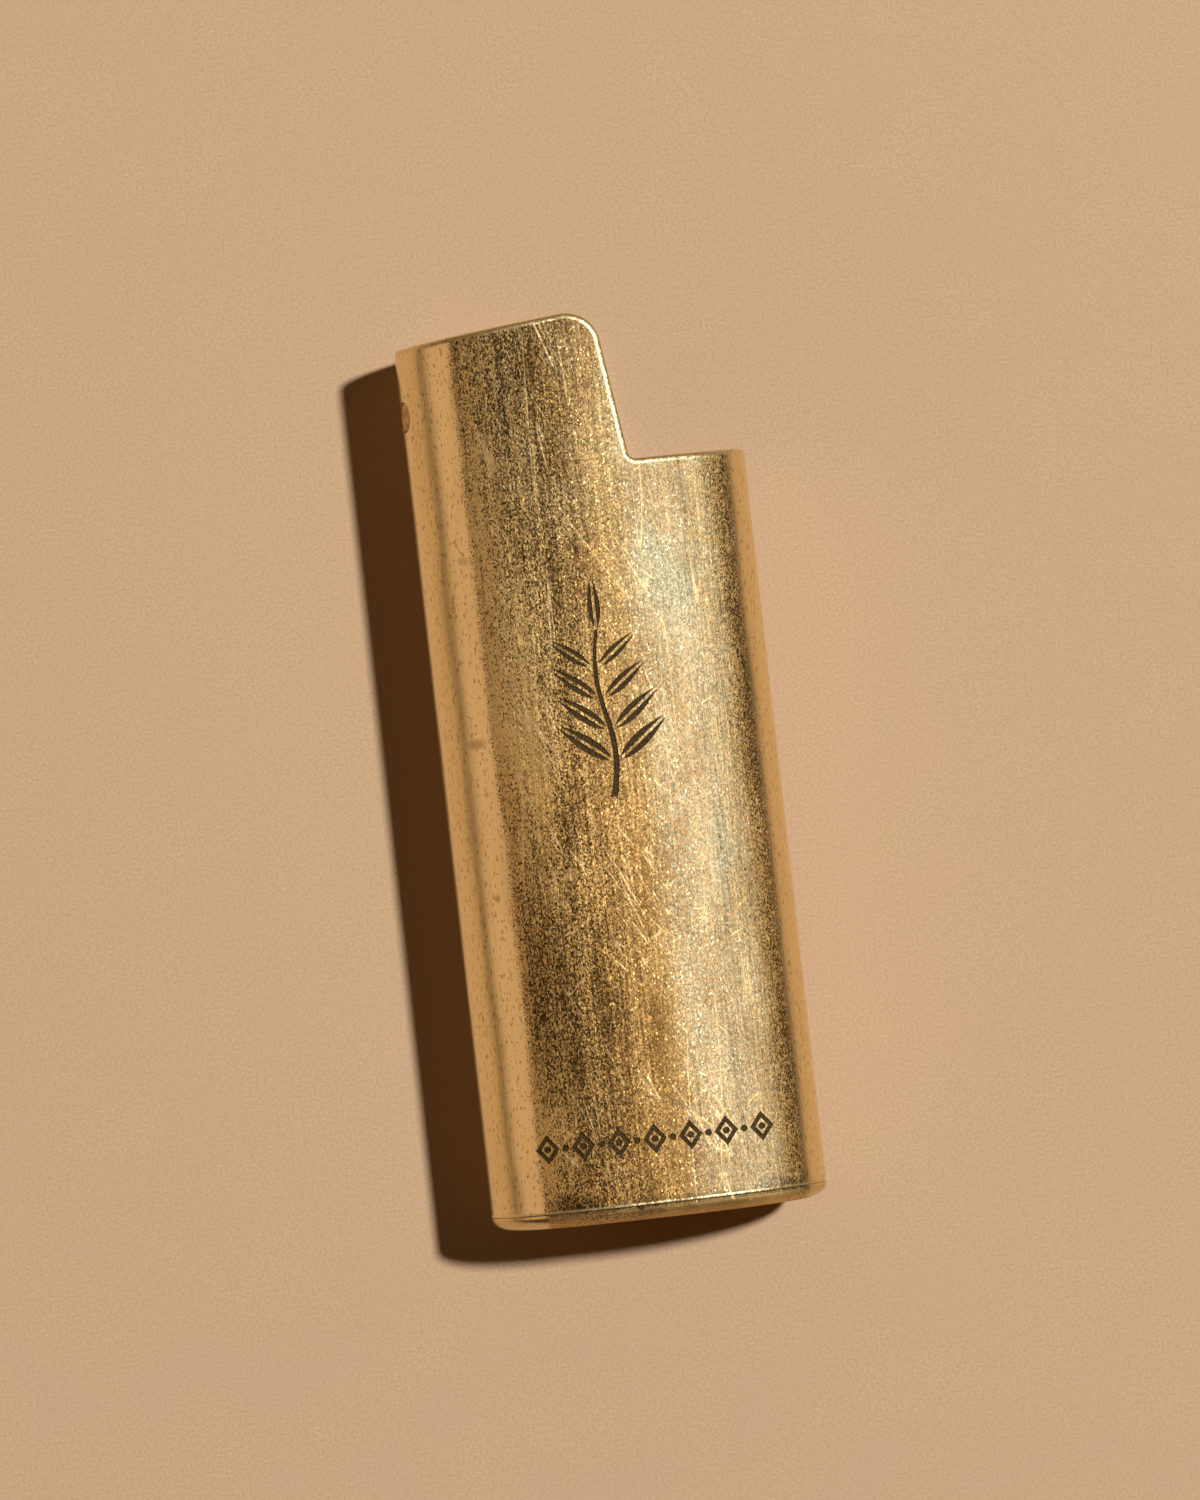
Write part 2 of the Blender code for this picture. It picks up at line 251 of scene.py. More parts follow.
# %% [markdown]
# ## Camera
#
# The photograph was taken from straight above with a long lens. Fitting a pinhole camera to the outline
# gives its height over the paper, the point under it, and a roll that leans the case's top to the left.

# %% Camera
CAMERA_HEIGHT = 769 * MM
CAMERA_X = -0.67 * MM
CAMERA_Y = 1.36 * MM
CAMERA_ROLL = math.radians(-6.442)
PIXELS_PER_MM = 12.457
PHOTO_HEIGHT_PIXELS = 1500
SENSOR_MM = 36

focal_pixels = PIXELS_PER_MM * (CAMERA_HEIGHT - MID_Z) / MM
camera_data = bpy.data.cameras.new("camera")
camera_data.sensor_width = SENSOR_MM
camera_data.lens = focal_pixels * SENSOR_MM / PHOTO_HEIGHT_PIXELS
camera = bpy.data.objects.new("camera", camera_data)
bpy.context.collection.objects.link(camera)
camera.location = (CAMERA_X, CAMERA_Y, CAMERA_HEIGHT)
camera.rotation_euler = (0, 0, CAMERA_ROLL)
bpy.context.scene.camera = camera
bpy.context.scene.view_settings.view_transform = "Standard"
print("lens %.1f mm" % camera_data.lens)

# %% [markdown]
# ## Light
#
# One studio lamp stands high up to the right, a little towards the mouth. It is small for its distance, so
# the shadow's edge is narrow. A pale card on the left shows in the rounded side as a long even band. The
# room is dark and warm, and the metal mirrors it a little brighter than it fills the shadow.

# %% Lights
KEY_DISTANCE = 2.2
KEY_DIAMETER = 0.15
KEY_ELEVATION = math.radians(60.5)
KEY_AZIMUTH = math.radians(22.2)
KEY_WATTS = 48.6
CARD_DISTANCE = 0.5
CARD_LOW = math.radians(6)
CARD_HIGH = math.radians(38)
CARD_LENGTH = 0.36
CARD_WATTS = 0.2
CARD_COLOUR = "FFDABC"
FAR_CARD_ELEVATION = math.radians(30)
FAR_CARD_WATTS = 0.05
ROOM_COLOUR = "6C521D"
ROOM_STRENGTH = 0.5
ROOM_FILL = 0.2


def add_lamp(name, elevation, azimuth, distance, size, watts, colour="FFFFFF"):
    """An area lamp that faces the case, at an elevation above the paper and an azimuth from the case's +X."""
    flat = math.cos(elevation)
    way = Vector((flat * math.cos(azimuth), flat * math.sin(azimuth), math.sin(elevation)))
    data = bpy.data.lights.new(name, "AREA")
    data.energy = watts
    data.color = hex_colour(colour)[:3]
    data.shape = "RECTANGLE" if len(size) > 1 else "DISK"
    data.size = size[0]
    data.size_y = size[-1]
    lamp = bpy.data.objects.new(name, data)
    bpy.context.collection.objects.link(lamp)
    lamp.location = way * distance + Vector((0, 0, MID_Z))
    lamp.rotation_euler = way.to_track_quat("Z", "Y").to_euler()


card_middle = (CARD_LOW + CARD_HIGH) / 2
card_size = (CARD_LENGTH, 2 * CARD_DISTANCE * math.tan((CARD_HIGH - CARD_LOW) / 2))
add_lamp("key_lamp", KEY_ELEVATION, KEY_AZIMUTH, KEY_DISTANCE, (KEY_DIAMETER,), KEY_WATTS)
add_lamp("pale_card", card_middle, math.pi, CARD_DISTANCE, card_size, CARD_WATTS, CARD_COLOUR)
add_lamp("far_card", FAR_CARD_ELEVATION, math.pi / 2, CARD_DISTANCE, card_size, FAR_CARD_WATTS, CARD_COLOUR)

room = bpy.data.worlds.new("dark_room")
room.use_nodes = True
mirrored = add_node("LightPath", tree=room.node_tree).outputs["Is Glossy Ray"]
strength = add_node("Mix", {0: mirrored, 2: ROOM_FILL, 3: ROOM_STRENGTH}).outputs[0]
fill(room.node_tree.nodes["Background"], {"Color": ROOM_COLOUR, "Strength": strength})
bpy.context.scene.world = room

# %% [markdown]
# ## Paper
#
# The floor is warm tan card with a fine tooth. In the photo the metal's sides show it going dark some way
# off.
# Here it is endless for the eye, and its far part is painted dark only in reflections: a painted dark
# reflection.

# %% Paper floor
PAPER_SIZE = 1.6
PAPER_DARK = "C4A27A"
PAPER_PALE = "D8B894"
PAPER_PINK = "D0AA8A"
PAPER_TOOTH = 0.22 * MM
PAPER_TOOTH_HEIGHT = 0.026 * MM
PAPER_CLOUD = 7 * MM
# Where the paper turns dark in reflections only: the painted dark reflection
DARK_REFLECTION_NEAR = 116 * MM
DARK_REFLECTION_FAR = 132 * MM
DARK_REFLECTION_MIDDLE_X = -60 * MM
DARK_REFLECTION_COLOUR = "2A1C0C"


def paper_material():
    """Matt tan art paper: fibre grain in the colour, a fine tooth, and far paper painted dark that only
    reflections see.
    """
    material, shader, place = new_material("art_paper")
    tooth = grain(place, PAPER_TOOTH, detail=4.0)
    clouds = grain(place, PAPER_CLOUD, detail=3.0)
    colour = coat(fade(tooth, 0.2, 0.8), PAPER_DARK, PAPER_PALE)
    colour = coat(fade(clouds, 0.3, 0.7, 0, 0.4), colour, PAPER_PINK)
    away = reaches(place, (DARK_REFLECTION_MIDDLE_X, 0, 0), (1, 1, 1))
    in_metal = add_node("LightPath", tree=shader.id_data).outputs["Is Glossy Ray"]
    # Beyond that distance the paper is painted dark for reflections only: a painted dark reflection in the
    # metal's sides
    table = times(fade(away, DARK_REFLECTION_NEAR, DARK_REFLECTION_FAR), in_metal)
    bump = add_node("Bump", {"Height": tooth, "Distance": PAPER_TOOTH_HEIGHT})
    fill(shader, {
        "Base Color": coat(table, colour, DARK_REFLECTION_COLOUR),
        "Roughness": 0.9,
        "Specular IOR Level": 0.2,
        "Normal": bump.outputs["Normal"],
    })
    return material


bpy.ops.mesh.primitive_plane_add(size=PAPER_SIZE)
paper = bpy.context.object
paper.name = "paper_floor"
paper.data.materials.append(paper_material())

# %% [markdown]
# ## Brass
#
# Bare brass is a clear yellow metal. Years in a pocket gave it three looks: broad faces dense with tiny
# tilted facets and brown pits, narrow sides rubbed smooth that mirror the paper, and over both the
# lengthwise lines of drawing and thin scratches.

# %% Drawn brass values
CLEAN_BRASS = "F8E0AA"
TARNISHING = ("F3CF8A", "AD8853", "694F2D")
WARM_FILM = "FFF8EC"
PIT_BROWN = "30240E"
PALE_HAZE = "C8B894"
GREEN_HAZE = "A4AC94"
SCRATCH_GOLD = "FBDCA0"
SPECK_BROWN = "8A5F30"
SMUDGE_TAN = "C8A067"
# White of the painted glints on the lit side
PAINTED_GLINT_WHITE = "FFF2D4"
COOL_GREY = "BEBC9C"
FACET_SIZE = 0.1 * MM
KNOCK_SIZE = 0.35 * MM
WAVE_SIZE = 3 * MM
BRUSH_SIZE = 0.12 * MM
DRAW_LINE_SIZE = 0.22 * MM
STREAK_SIZE = 0.9 * MM
CLOUD_SIZE = 5 * MM
PIT_SIZE = 0.12 * MM
BLOTCH_SIZE = 0.22 * MM
WANDER_SIZE = 2.5 * MM
WANDER_REACH = 0.5 * MM
PIT_REACH = 1.6 * MM
SEAM_LINE_Y = SLEEVE_FOOT_Y - 0.1 * MM
FOOT_RUB_SOFTNESS = 0.1 * MM
FOOT_RUB_SHARE = 0.2
# How far the painted shade of the seam's gap reaches
GAP_SHADE_REACH = 0.2 * MM
SEAM_PATINA_REACH = 0.9 * MM
WARM_START_Y = 14 * MM
WARM_END_Y = -8 * MM
FACET_TILT = 0.3
KNOCK_TILT = 0.1
WAVE_TILT = 0.085
BRUSH_TILT = 0.5
STREAK_TILT = 0.25
FOOT_ROUGHNESS = 0.78
RUBBED_ROUGHNESS = 0.26
FACET_ROUGHNESS = 0.62
GLINT_ROUGHNESS = 0.45
LIP_ROUGHNESS = 0.42
# Size and clusters of the painted glints
PAINTED_GLINT_SIZE = 0.2 * MM
PAINTED_GLINT_CLUSTER = 2.2 * MM
HUE_GRAIN_SIZE = 0.3 * MM
SCRATCH_SPACING = 1.1 * MM
SCRATCH_STRETCH = 25
SCRATCH_WIDTH_SHARE = 0.014
SCRATCH_BREAK = 1.8 * MM
LONG_SCRATCH_BEND = 0.9 * MM
STAMPED_LINE_SHARE = 0.4

# Steps across the case: start and end in millimetres from its middle, and the values there
RUB_STEPS = ((-8.55, -9.25, 0, 1), (11.675, 12.025, 0, 1))
TARNISH_STEPS = (
    (4.5, 2.5, 0.4, 0.31), (0.5, -2.5, 0, 0.08), (-4, -8, 0, -0.34), (8, 9.5, 0, -0.34),
    (10.6, 11.6, 0, 0.34),
)
SALT_STEPS = ((1, -5, 0.12, 1.2), (8.5, 10.2, 0, 0.9))
LINE_STEPS = ((3, -2, 0.35, 1),)
HAZE_STEPS = ((1.5, 4.5, 0, 1), (9.8, 11, 0, -1))
PIT_STEPS = ((4, -2, 0.4, 0.85), (9.4, 11.4, 0, 0.4))
CROWDING_STEPS = ((9.4, 11.4, 0, 0.04),)
# Where the painted glints lie: the side where the lamp's highlight falls
PAINTED_GLINT_STEPS = ((2.5, 5, 0.1, 1),)

# Oval patches seen from the front, in millimetres: middle across and along, reach across and along, strength
DARK_PATCHES = (
    (-6.3, 32, 3.4, 9, 0.36),
    (-3, 35, 9, 8, 0.3),
    (-1.8, 22, 3.4, 14, 0.26),
    (-6.4, -18.5, 3.6, 13, 0.36),
    (-2.5, -23, 2.4, 15, 0.2),
    (-6.7, -34.2, 2.6, 1.0, 0.5),
    (-6.6, -31.5, 2.0, 3.0, 0.25),
    (9.4, -34.5, 2.4, 0.9, 0.5),
    (-1.5, -35.1, 0.4, 0.3, 1.0),
    (7.15, -23.5, 0.35, 3.2, 0.35),
    (7.1, -13.8, 0.2, 2.2, 0.3),
    (-1.65, -12.2, 0.16, 1.6, 0.5),
)
PALE_PATCHES = (
    (-6.2, 5, 4.0, 16, 0.4), (-7.6, -30, 3.4, 5, 0.3), (-8.2, 17, 1.2, 9, 0.2), (-8.2, -4.5, 1.6, 5, 0.3),
)
GREEN_PATCHES = ((6.5, 17, 3.6, 10, 0.4), (8.3, -9, 1.4, 8, 0.3), (-1, 28, 8, 14, 0.12))
BLOTCHES = ((-10.4, 2.9, 1.0, 0.6, 0.5), (-9.8, 17.5, 0.7, 0.5, 0.35), (-10.1, -9.5, 0.3, 0.45, 0.55))
SMUDGES = ((-4.2, -8.2, 0.6, 1.2, 0.8), (-4.7, 27.5, 0.35, 3.4, 0.55), (-11.0, 13.8, 0.2, 1.4, 0.9))
# The longest scratches, in millimetres: where each starts and ends seen from the front, and its strength
LONG_SCRATCHES = (
    (-2.6, 0.4, -2.2, -0.7, 0.9),
    (-2.2, -2.4, -1.6, -5.8, 0.6),
    (-1.6, -5.6, 1.9, -12.9, 0.9),
    (-1.1, -6.6, 2.1, -15.4, 0.5),
    (-0.1, -4.0, 1.1, -6.6, 0.8),
    (0.6, -7.3, 2.3, -11.0, 0.7),
    (0.0, -12.1, 2.1, -15.1, 1.0),
    (-1.5, -15.0, -0.4, -16.5, 0.9),
    (3.2, -1.5, 4.6, -2.6, 1.0),
    (1.7, -6.7, 2.6, -7.8, 0.8),
    (2.2, -9.9, 2.7, -11.1, 0.9),
    (4.9, -11.8, 6.6, -12.0, 0.8),
    (5.1, -12.6, 6.6, -12.8, 0.6),
    (7.8, -14.7, 9.4, -13.8, 1.0),
    (8.6, -12.4, 9.8, -11.4, 0.8),
    (-6.6, -6.4, -6.3, -11.6, 0.6),
    (10.1, -14.6, 10.4, -18.4, 0.6),
    (1.0, 18.1, 2.2, 16.6, 0.8),
    (1.9, 18.5, 3.8, 16.1, 0.8),
    (4.2, 15.5, 5.3, 14.5, 0.9),
    (-1.2, 16.1, 1.2, 13.2, 0.5),
    (1.1, 11.2, 2.1, 9.7, 0.8),
    (-4.7, 6.5, -3.9, 4.6, 1.0),
    (7.3, 4.1, 8.9, 4.8, 0.8),
    (4.0, -24.8, 5.1, -25.4, 1.0),
    (3.2, -21.0, 3.9, -21.8, 1.0),
    (7.6, -28.2, 9.3, -26.9, 0.9),
    (10.0, -25.0, 10.1, -26.5, 1.0),
)
LONG_SCRATCH_REACH_MM = 0.1
# Sets of thin scratches: turn to the case, how rare they are, and how long
LENGTHWISE_SCRATCHES = (0.03, 0.56, 9)
SLANTING_SCRATCHES = (
    (-0.5, 0.6, 5), (-0.36, 0.61, 4), (-0.7, 0.64, 3), (-0.15, 0.62, 4), (0.75, 0.67, 2), (1.2, 0.68, 1.5),
)
# Patches where slanting scratches are dense, over the middle of the front and below it
SCRATCHED_PATCHES = (
    (1.2, -8, 4.5, 14, 1.0), (4.5, -27, 5, 7, 0.8), (-4.5, 3, 4, 7, 0.7), (3.5, 15, 5, 8, 0.5),
)


# %% Drawn brass
def scratches(place, turn, rarity, run):
    """Thin broken lines: the level lines of stretched noise, where other noise is high."""
    waves = grain(place, SCRATCH_SPACING, stretch=SCRATCH_STRETCH, detail=0.5, turn=turn)
    line = fade(distance(waves, 0.5), SCRATCH_WIDTH_SHARE, SCRATCH_WIDTH_SHARE / 3)
    breaks = grain(place, SCRATCH_BREAK, stretch=run, turn=turn)
    return times(line, fade(less(breaks, rarity), 0, 0.08))


def long_scratch(place, row):
    """One long scratch from its row of the table, as a very thin oval patch."""
    start = Vector(row[:2])
    end = Vector(row[2:4])
    middle = (start + end) / 2
    turn = math.atan2(end.x - start.x, end.y - start.y)
    turning = {"Vector": place, "Center": (*middle * MM, 0), "Angle": turn}
    straight = add_node("VectorRotate", turning, rotation_type="Z_AXIS").outputs[0]
    line = (*middle, LONG_SCRATCH_REACH_MM, (end - start).length / 2, row[4])
    return patches(straight, [line])


def drawn_brass_material(name="drawn_brass", line_share=1.0):
    """Drawn or stamped brass; the line share says how strong its lengthwise lines are."""
    material, shader, place = new_material(name)
    split = add_node("SeparateXYZ", {"Vector": place}).outputs
    along = split["Y"]
    rim = add_node("Attribute", tree=shader.id_data, attribute_name="rim").outputs["Fac"]
    wander = less(grain(place, WANDER_SIZE, stretch=2.5), 0.5)
    pits = grain(place, PIT_SIZE, stretch=1.3)
    spread = times(less(pits, 0.5), PIT_REACH)
    edge = total(split["X"], times(wander, WANDER_REACH), spread)
    outlying = reaches(place, (0, 0, MID_Z), (CASE_WIDTH / 2, math.inf, CASE_THICKNESS / 2))
    foot_edge = total(along, times(spread, 0.3))
    foot = fade(foot_edge, SEAM_LINE_Y + FOOT_RUB_SOFTNESS, SEAM_LINE_Y - FOOT_RUB_SOFTNESS)
    above_foot = less(1.0, foot)
    worn_foot = times(foot, fade(outlying, 0.6, 0.8))
    side_rub = times(across(edge, RUB_STEPS), fade(outlying, 0.74, 0.9))
    rubbed = highest(side_rub, times(worn_foot, FOOT_RUB_SHARE))
    smooth = highest(rubbed, rim)
    rough = less(1.0, smooth)

    # Facets and knocks tilt the surface every way, brushing and long streaks only across the case
    facets = texture(place, FACET_SIZE, stretch=1.5, detail=0.0, kind="TexVoronoi")
    brushing = texture(place, BRUSH_SIZE, stretch=35)
    streaks = texture(place, STREAK_SIZE, stretch=30, detail=2.0)
    facet_share = times(less(1.0, rubbed), fade(rim, 0, 1, 1.0, 0.8))
    facet_push = join_vectors("MULTIPLY", pushed(facets, FACET_TILT), facet_share)
    soft_push = join_vectors(
        "ADD",
        pushed(texture(place, KNOCK_SIZE, stretch=2), KNOCK_TILT),
        pushed(brushing, BRUSH_TILT * line_share, (1, 0, 0)),
        pushed(streaks, STREAK_TILT * line_share, (1, 0, 0)),
    )
    soft_push = join_vectors("MULTIPLY", soft_push, fade(smooth, 0, 1, 1.0, 0.12))
    wave_push = pushed(texture(place, WAVE_SIZE, stretch=3), WAVE_TILT)

    # Tarnish lies in broad patches and is streaked lengthwise, most on the left where a hand rubs it least
    clouds = grain(place, CLOUD_SIZE, stretch=1.8, detail=3.0)
    streaked = streaks.outputs["Fac"]
    drawn = grain(place, DRAW_LINE_SIZE, stretch=60, detail=2.0)
    lines = total(
        fade(streaked, 0.35, 0.65, -0.13, 0.13),
        fade(brushing.outputs["Fac"], 0.35, 0.65, -0.08, 0.08),
        fade(drawn, 0.35, 0.65, -0.14, 0.14),
    )
    salt = add_node("SeparateColor", {"Color": facets.outputs["Color"]}).outputs
    tarnish = total(
        across(edge, TARNISH_STEPS),
        times(less(salt["Green"], 0.5), across(edge, SALT_STEPS)),
        fade(clouds, 0.3, 0.7, -0.12, 0.12),
        times(lines, across(edge, LINE_STEPS), line_share),
        times(foot, -0.15),
        patches(place, DARK_PATCHES),
        times(patches(place, PALE_PATCHES), -1.0),
    )
    film = add_node("ValToRGB", {"Fac": tarnish})
    stops = film.color_ramp.elements
    stops.new(0.5)
    for stop, code in zip(stops, TARNISHING):
        stop.color = hex_colour(code)
    film = coat(fade(along, WARM_START_Y, WARM_END_Y), film.outputs["Color"], WARM_FILM, "MULTIPLY")
    hazy = times(across(edge, HAZE_STEPS), above_foot)
    film = coat(times(hazy, fade(clouds, 0.35, 0.6, 0.6, 0.3)), film, PALE_HAZE)
    cool = fade(grain(place, HUE_GRAIN_SIZE, stretch=1.5), 0.45, 0.62, 0, 0.4)
    film = coat(times(cool, hazy), film, COOL_GREY)
    green = times(patches(place, GREEN_PATCHES), fade(clouds, 0.6, 0.4))
    film = coat(green, film, GREEN_HAZE)
    smear = total(
        fade(streaked, 0.4, 0.75, 0, 0.07),
        fade(clouds, 0.45, 0.75, 0, 0.07),
        fade(drawn, 0.5, 0.7, 0, 0.1),
        times(foot, 0.35),
    )
    colour = coat(rough, coat(smear, CLEAN_BRASS, TARNISHING[1]), film)

    # Pits hold dark tarnish, and are densest beside the right rubbed side. The rubbed sides keep a few specks
    mixed = total(times(pits, 0.5), times(salt["Blue"], 0.25), 0.125)
    packed = total(mixed, times(tarnish, 0.1), across(edge, CROWDING_STEPS))
    pitted = times(fade(packed, 0.54, 0.62), across(edge, PIT_STEPS), rough)
    colour = coat(times(pitted, fade(foot, 0, 1, 1.0, 0.5)), colour, PIT_BROWN)
    specks = fade(grain(place, BLOTCH_SIZE, stretch=2.2, detail=3.0), 0.57, 0.66, 0, 0.55)
    specks = highest(specks, patches(place, BLOTCHES))
    colour = coat(times(specks, rubbed), colour, SPECK_BROWN)
    seam = fade(distance(along, SLEEVE_FOOT_Y), SEAM_PATINA_REACH, 0)
    seam = times(seam, fade(clouds, 0.4, 0.6, 0.1, 0.6))
    # A thin dark line just below the seam is painted shade of the gap between sleeve and cap; the wider brown
    # band is patina in the joint
    painted_gap_shade = fade(distance(along, SEAM_LINE_Y), GAP_SHADE_REACH, GAP_SHADE_REACH / 2, 0, 0.7)
    colour = coat(times(highest(seam, painted_gap_shade), rough), colour, PIT_BROWN)

    # White specks in clusters are painted on the side where the lamp's highlight falls: painted glints that
    # stand in for facets catching the lamp
    painted_glints = fade(grain(place, PAINTED_GLINT_SIZE, stretch=1.4), 0.63, 0.71)
    clustered = fade(grain(place, PAINTED_GLINT_CLUSTER, stretch=1.8), 0.42, 0.62, 0.1, 0.85)
    lit_side = across(edge, PAINTED_GLINT_STEPS)
    painted_glint_share = times(painted_glints, clustered, lit_side, rough, above_foot)
    colour = coat(painted_glint_share, colour, PAINTED_GLINT_WHITE)

    # Smudges are burnished over, and scratches cut through to clean metal
    worn = fade(grain(place, KNOCK_SIZE, detail=2.0), 0.35, 0.55)
    colour = coat(times(patches(place, SMUDGES), worn), colour, SMUDGE_TAN)
    dense = fade(patches(place, SCRATCHED_PATCHES), 0, 1, 0.0, 0.12)
    thin_ones = [scratches(place, *LENGTHWISE_SCRATCHES)]
    for turn, rarity, run in SLANTING_SCRATCHES:
        thin_ones.append(scratches(place, turn, less(rarity, dense), run))
    thin_ones = times(highest(*thin_ones), fade(rough, 0, 1, 0.1, 0.65))
    bend = pushed(texture(place, WANDER_SIZE, stretch=2.5), LONG_SCRATCH_BEND, (1, 1, 0))
    bent = join_vectors("ADD", place, bend)
    long_ones = highest(*[long_scratch(bent, row) for row in LONG_SCRATCHES])
    colour = coat(highest(thin_ones, times(long_ones, rough)), colour, SCRATCH_GOLD)

    # Some facets are bright enough to glint
    roughness = fade(salt["Red"], 0.93, 0.98, FACET_ROUGHNESS, GLINT_ROUGHNESS)
    for share, value in ((worn_foot, FOOT_ROUGHNESS), (rubbed, RUBBED_ROUGHNESS), (rim, LIP_ROUGHNESS)):
        roughness = add_node("Mix", {0: share, 2: roughness, 3: value}).outputs[0]
    finish_metal(shader, colour, roughness, facet_push, soft_push, wave_push)
    return material


# %% [markdown]
# ## Other metals
#
# The bore is the same drawn tube, never polished: dull, brown, and rubbed bright in stripes where lighters
# slide. A laser burnt the engraving to a dry oxide. The rivet was filed flush, and the leaf is rolled strip.

# %% Other metals
BORE_BRASS = "C8A66A"
BORE_TARNISH = "6A4E28"
BORE_RUB_SIZE = 1.6 * MM
OXIDE_DARK = "2E220E"
OXIDE_PALE = "5C4522"
OXIDE_SIZE = 0.16 * MM
RIVET_METAL = "E4C084"
RIVET_TARNISH = "8C6434"
FILE_LINE_SIZE = 0.07 * MM
FILE_TURN = math.radians(35)
RIVET_CLOUD_SIZE = 0.8 * MM
BRONZE = "CC9460"
BRONZE_TINT = "8E5A34"
ROLL_LINE_SIZE = 0.09 * MM
BRONZE_CLOUD_SIZE = 2.4 * MM


def bore_brass_material():
    """The unpolished inside of drawn tube: die lines, brown tarnish, and bright stripes from sliding."""
    material, shader, place = new_material("bore_brass")
    lines = texture(place, DRAW_LINE_SIZE, stretch=60, detail=2.0)
    clouds = grain(place, CLOUD_SIZE, detail=3.0)
    rub = fade(grain(place, BORE_RUB_SIZE, stretch=25, detail=2.0), 0.5, 0.62)
    lined = fade(lines.outputs["Fac"], 0.35, 0.65, -0.2, 0.2)
    dull = highest(total(fade(clouds, 0.3, 0.7, 0.2, 0.8), lined), 0.0)
    dull = times(dull, fade(rub, 0, 1, 1.0, 0.35))
    colour = coat(dull, BORE_BRASS, BORE_TARNISH)
    finish_metal(shader, colour, fade(rub, 0, 1, 0.52, 0.34), pushed(lines, BRUSH_TILT, (1, 0, 1)))
    return material


def burnt_brass_material():
    """Brass that a laser burnt to a brown-black oxide: dark, dry and a little uneven."""
    material, shader, place = new_material("burnt_brass")
    burnt = grain(place, OXIDE_SIZE, detail=2.0)
    colour = coat(fade(burnt, 0.3, 0.7), OXIDE_DARK, OXIDE_PALE)
    roughness = fade(burnt, 0.3, 0.7, 0.85, 0.65)
    fill(shader, {"Base Color": colour, "Roughness": roughness, "Specular IOR Level": 0.15})
    return material


def rivet_brass_material():
    """Cast brass wire, headed over and filed flush: slanting file marks, with tarnish left between them."""
    material, shader, place = new_material("rivet_brass")
    split = add_node("SeparateXYZ", {"Vector": place}).outputs
    sideways = add_node("CombineXYZ", {"X": split["Z"], "Y": split["Y"], "Z": split["X"]}).outputs[0]
    marks = texture(sideways, FILE_LINE_SIZE, stretch=18, turn=FILE_TURN)
    clouds = grain(place, RIVET_CLOUD_SIZE, detail=3.0)
    marked = fade(marks.outputs["Fac"], 0.4, 0.7, 0, 0.4)
    left = total(fade(clouds, 0.35, 0.65, 0, 0.5), marked)
    colour = coat(left, RIVET_METAL, RIVET_TARNISH)
    finish_metal(shader, colour, fade(clouds, 0.3, 0.7, 0.3, 0.5), pushed(marks, KNOCK_TILT, (0, 1, 1)))
    return material


def spring_bronze_material():
    """Rolled phosphor bronze: satin lines along the strip, with a faint heat tint in clouds."""
    material, shader, place = new_material("spring_bronze")
    lines = texture(place, ROLL_LINE_SIZE, stretch=50, detail=2.0)
    lined = lines.outputs["Fac"]
    clouds = grain(place, BRONZE_CLOUD_SIZE, stretch=2, detail=3.0)
    tint = total(fade(clouds, 0.35, 0.7, 0, 0.6), fade(lined, 0.4, 0.7, 0, 0.3))
    colour = coat(tint, BRONZE, BRONZE_TINT)
    finish_metal(shader, colour, fade(lined, 0.3, 0.7, 0.26, 0.42), pushed(lines, KNOCK_TILT, (0, 0, 1)))
    return material


# %% [markdown]
# ## Selecting in edit mode
#
# By hand, a modeller clicks on faces and edges. Here tests of their place or angle do it.

# %% Selecting helpers
TINY = 0.001 * MM
CORNER_ANGLE = 1.0
SMOOTH_ANGLE = math.radians(35)


def choose(*objects):
    """Selects only these objects, the first one as the active one."""
    bpy.ops.object.select_all(action="DESELECT")
    for obj in objects:
        obj.select_set(True)
    bpy.context.view_layer.objects.active = objects[0]


def start_edit(obj):
    """Goes into edit mode on one object with nothing selected."""
    choose(obj)
    bpy.ops.object.mode_set(mode="EDIT")
    bpy.ops.mesh.select_all(action="DESELECT")


def finish_edit():
    """Leaves edit mode and gives the object that was edited."""
    bpy.ops.object.mode_set(mode="OBJECT")
    return bpy.context.object


def pick(kind, *tests):
    """Selects only the verts, edges or faces of the edited mesh that pass every test."""
    bpy.context.tool_settings.mesh_select_mode = [kind == each for each in ("verts", "edges", "faces")]
    mesh = bpy.context.edit_object.data
    bm = bmesh.from_edit_mesh(mesh)
    for part in (*bm.faces, *bm.edges, *bm.verts):
        part.select = False
    for part in getattr(bm, kind):
        if all(test(part) for test in tests):
            part.select_set(True)
    bmesh.update_edit_mesh(mesh)


def face_outwards():
    """Turns all faces of the edited solid outwards."""
    pick("faces")
    bpy.ops.mesh.normals_make_consistent(inside=False)


def at_y(y):
    """A test for verts, edges and faces that lie at one distance along the case."""
    return lambda part: all(abs(vert.co.y - y) < TINY for vert in getattr(part, "verts", [part]))


def is_corner(edge):
    """Whether the two faces at an edge meet at a sharp angle."""
    return edge.calc_face_angle(0) > CORNER_ANGLE


def extrude(move):
    bpy.ops.mesh.extrude_region_move(TRANSFORM_OT_translate={"value": move})


def bevel(offset, segments, **settings):
    bpy.ops.mesh.bevel(offset=offset, offset_pct=offset, segments=segments, clamp_overlap=False, **settings)


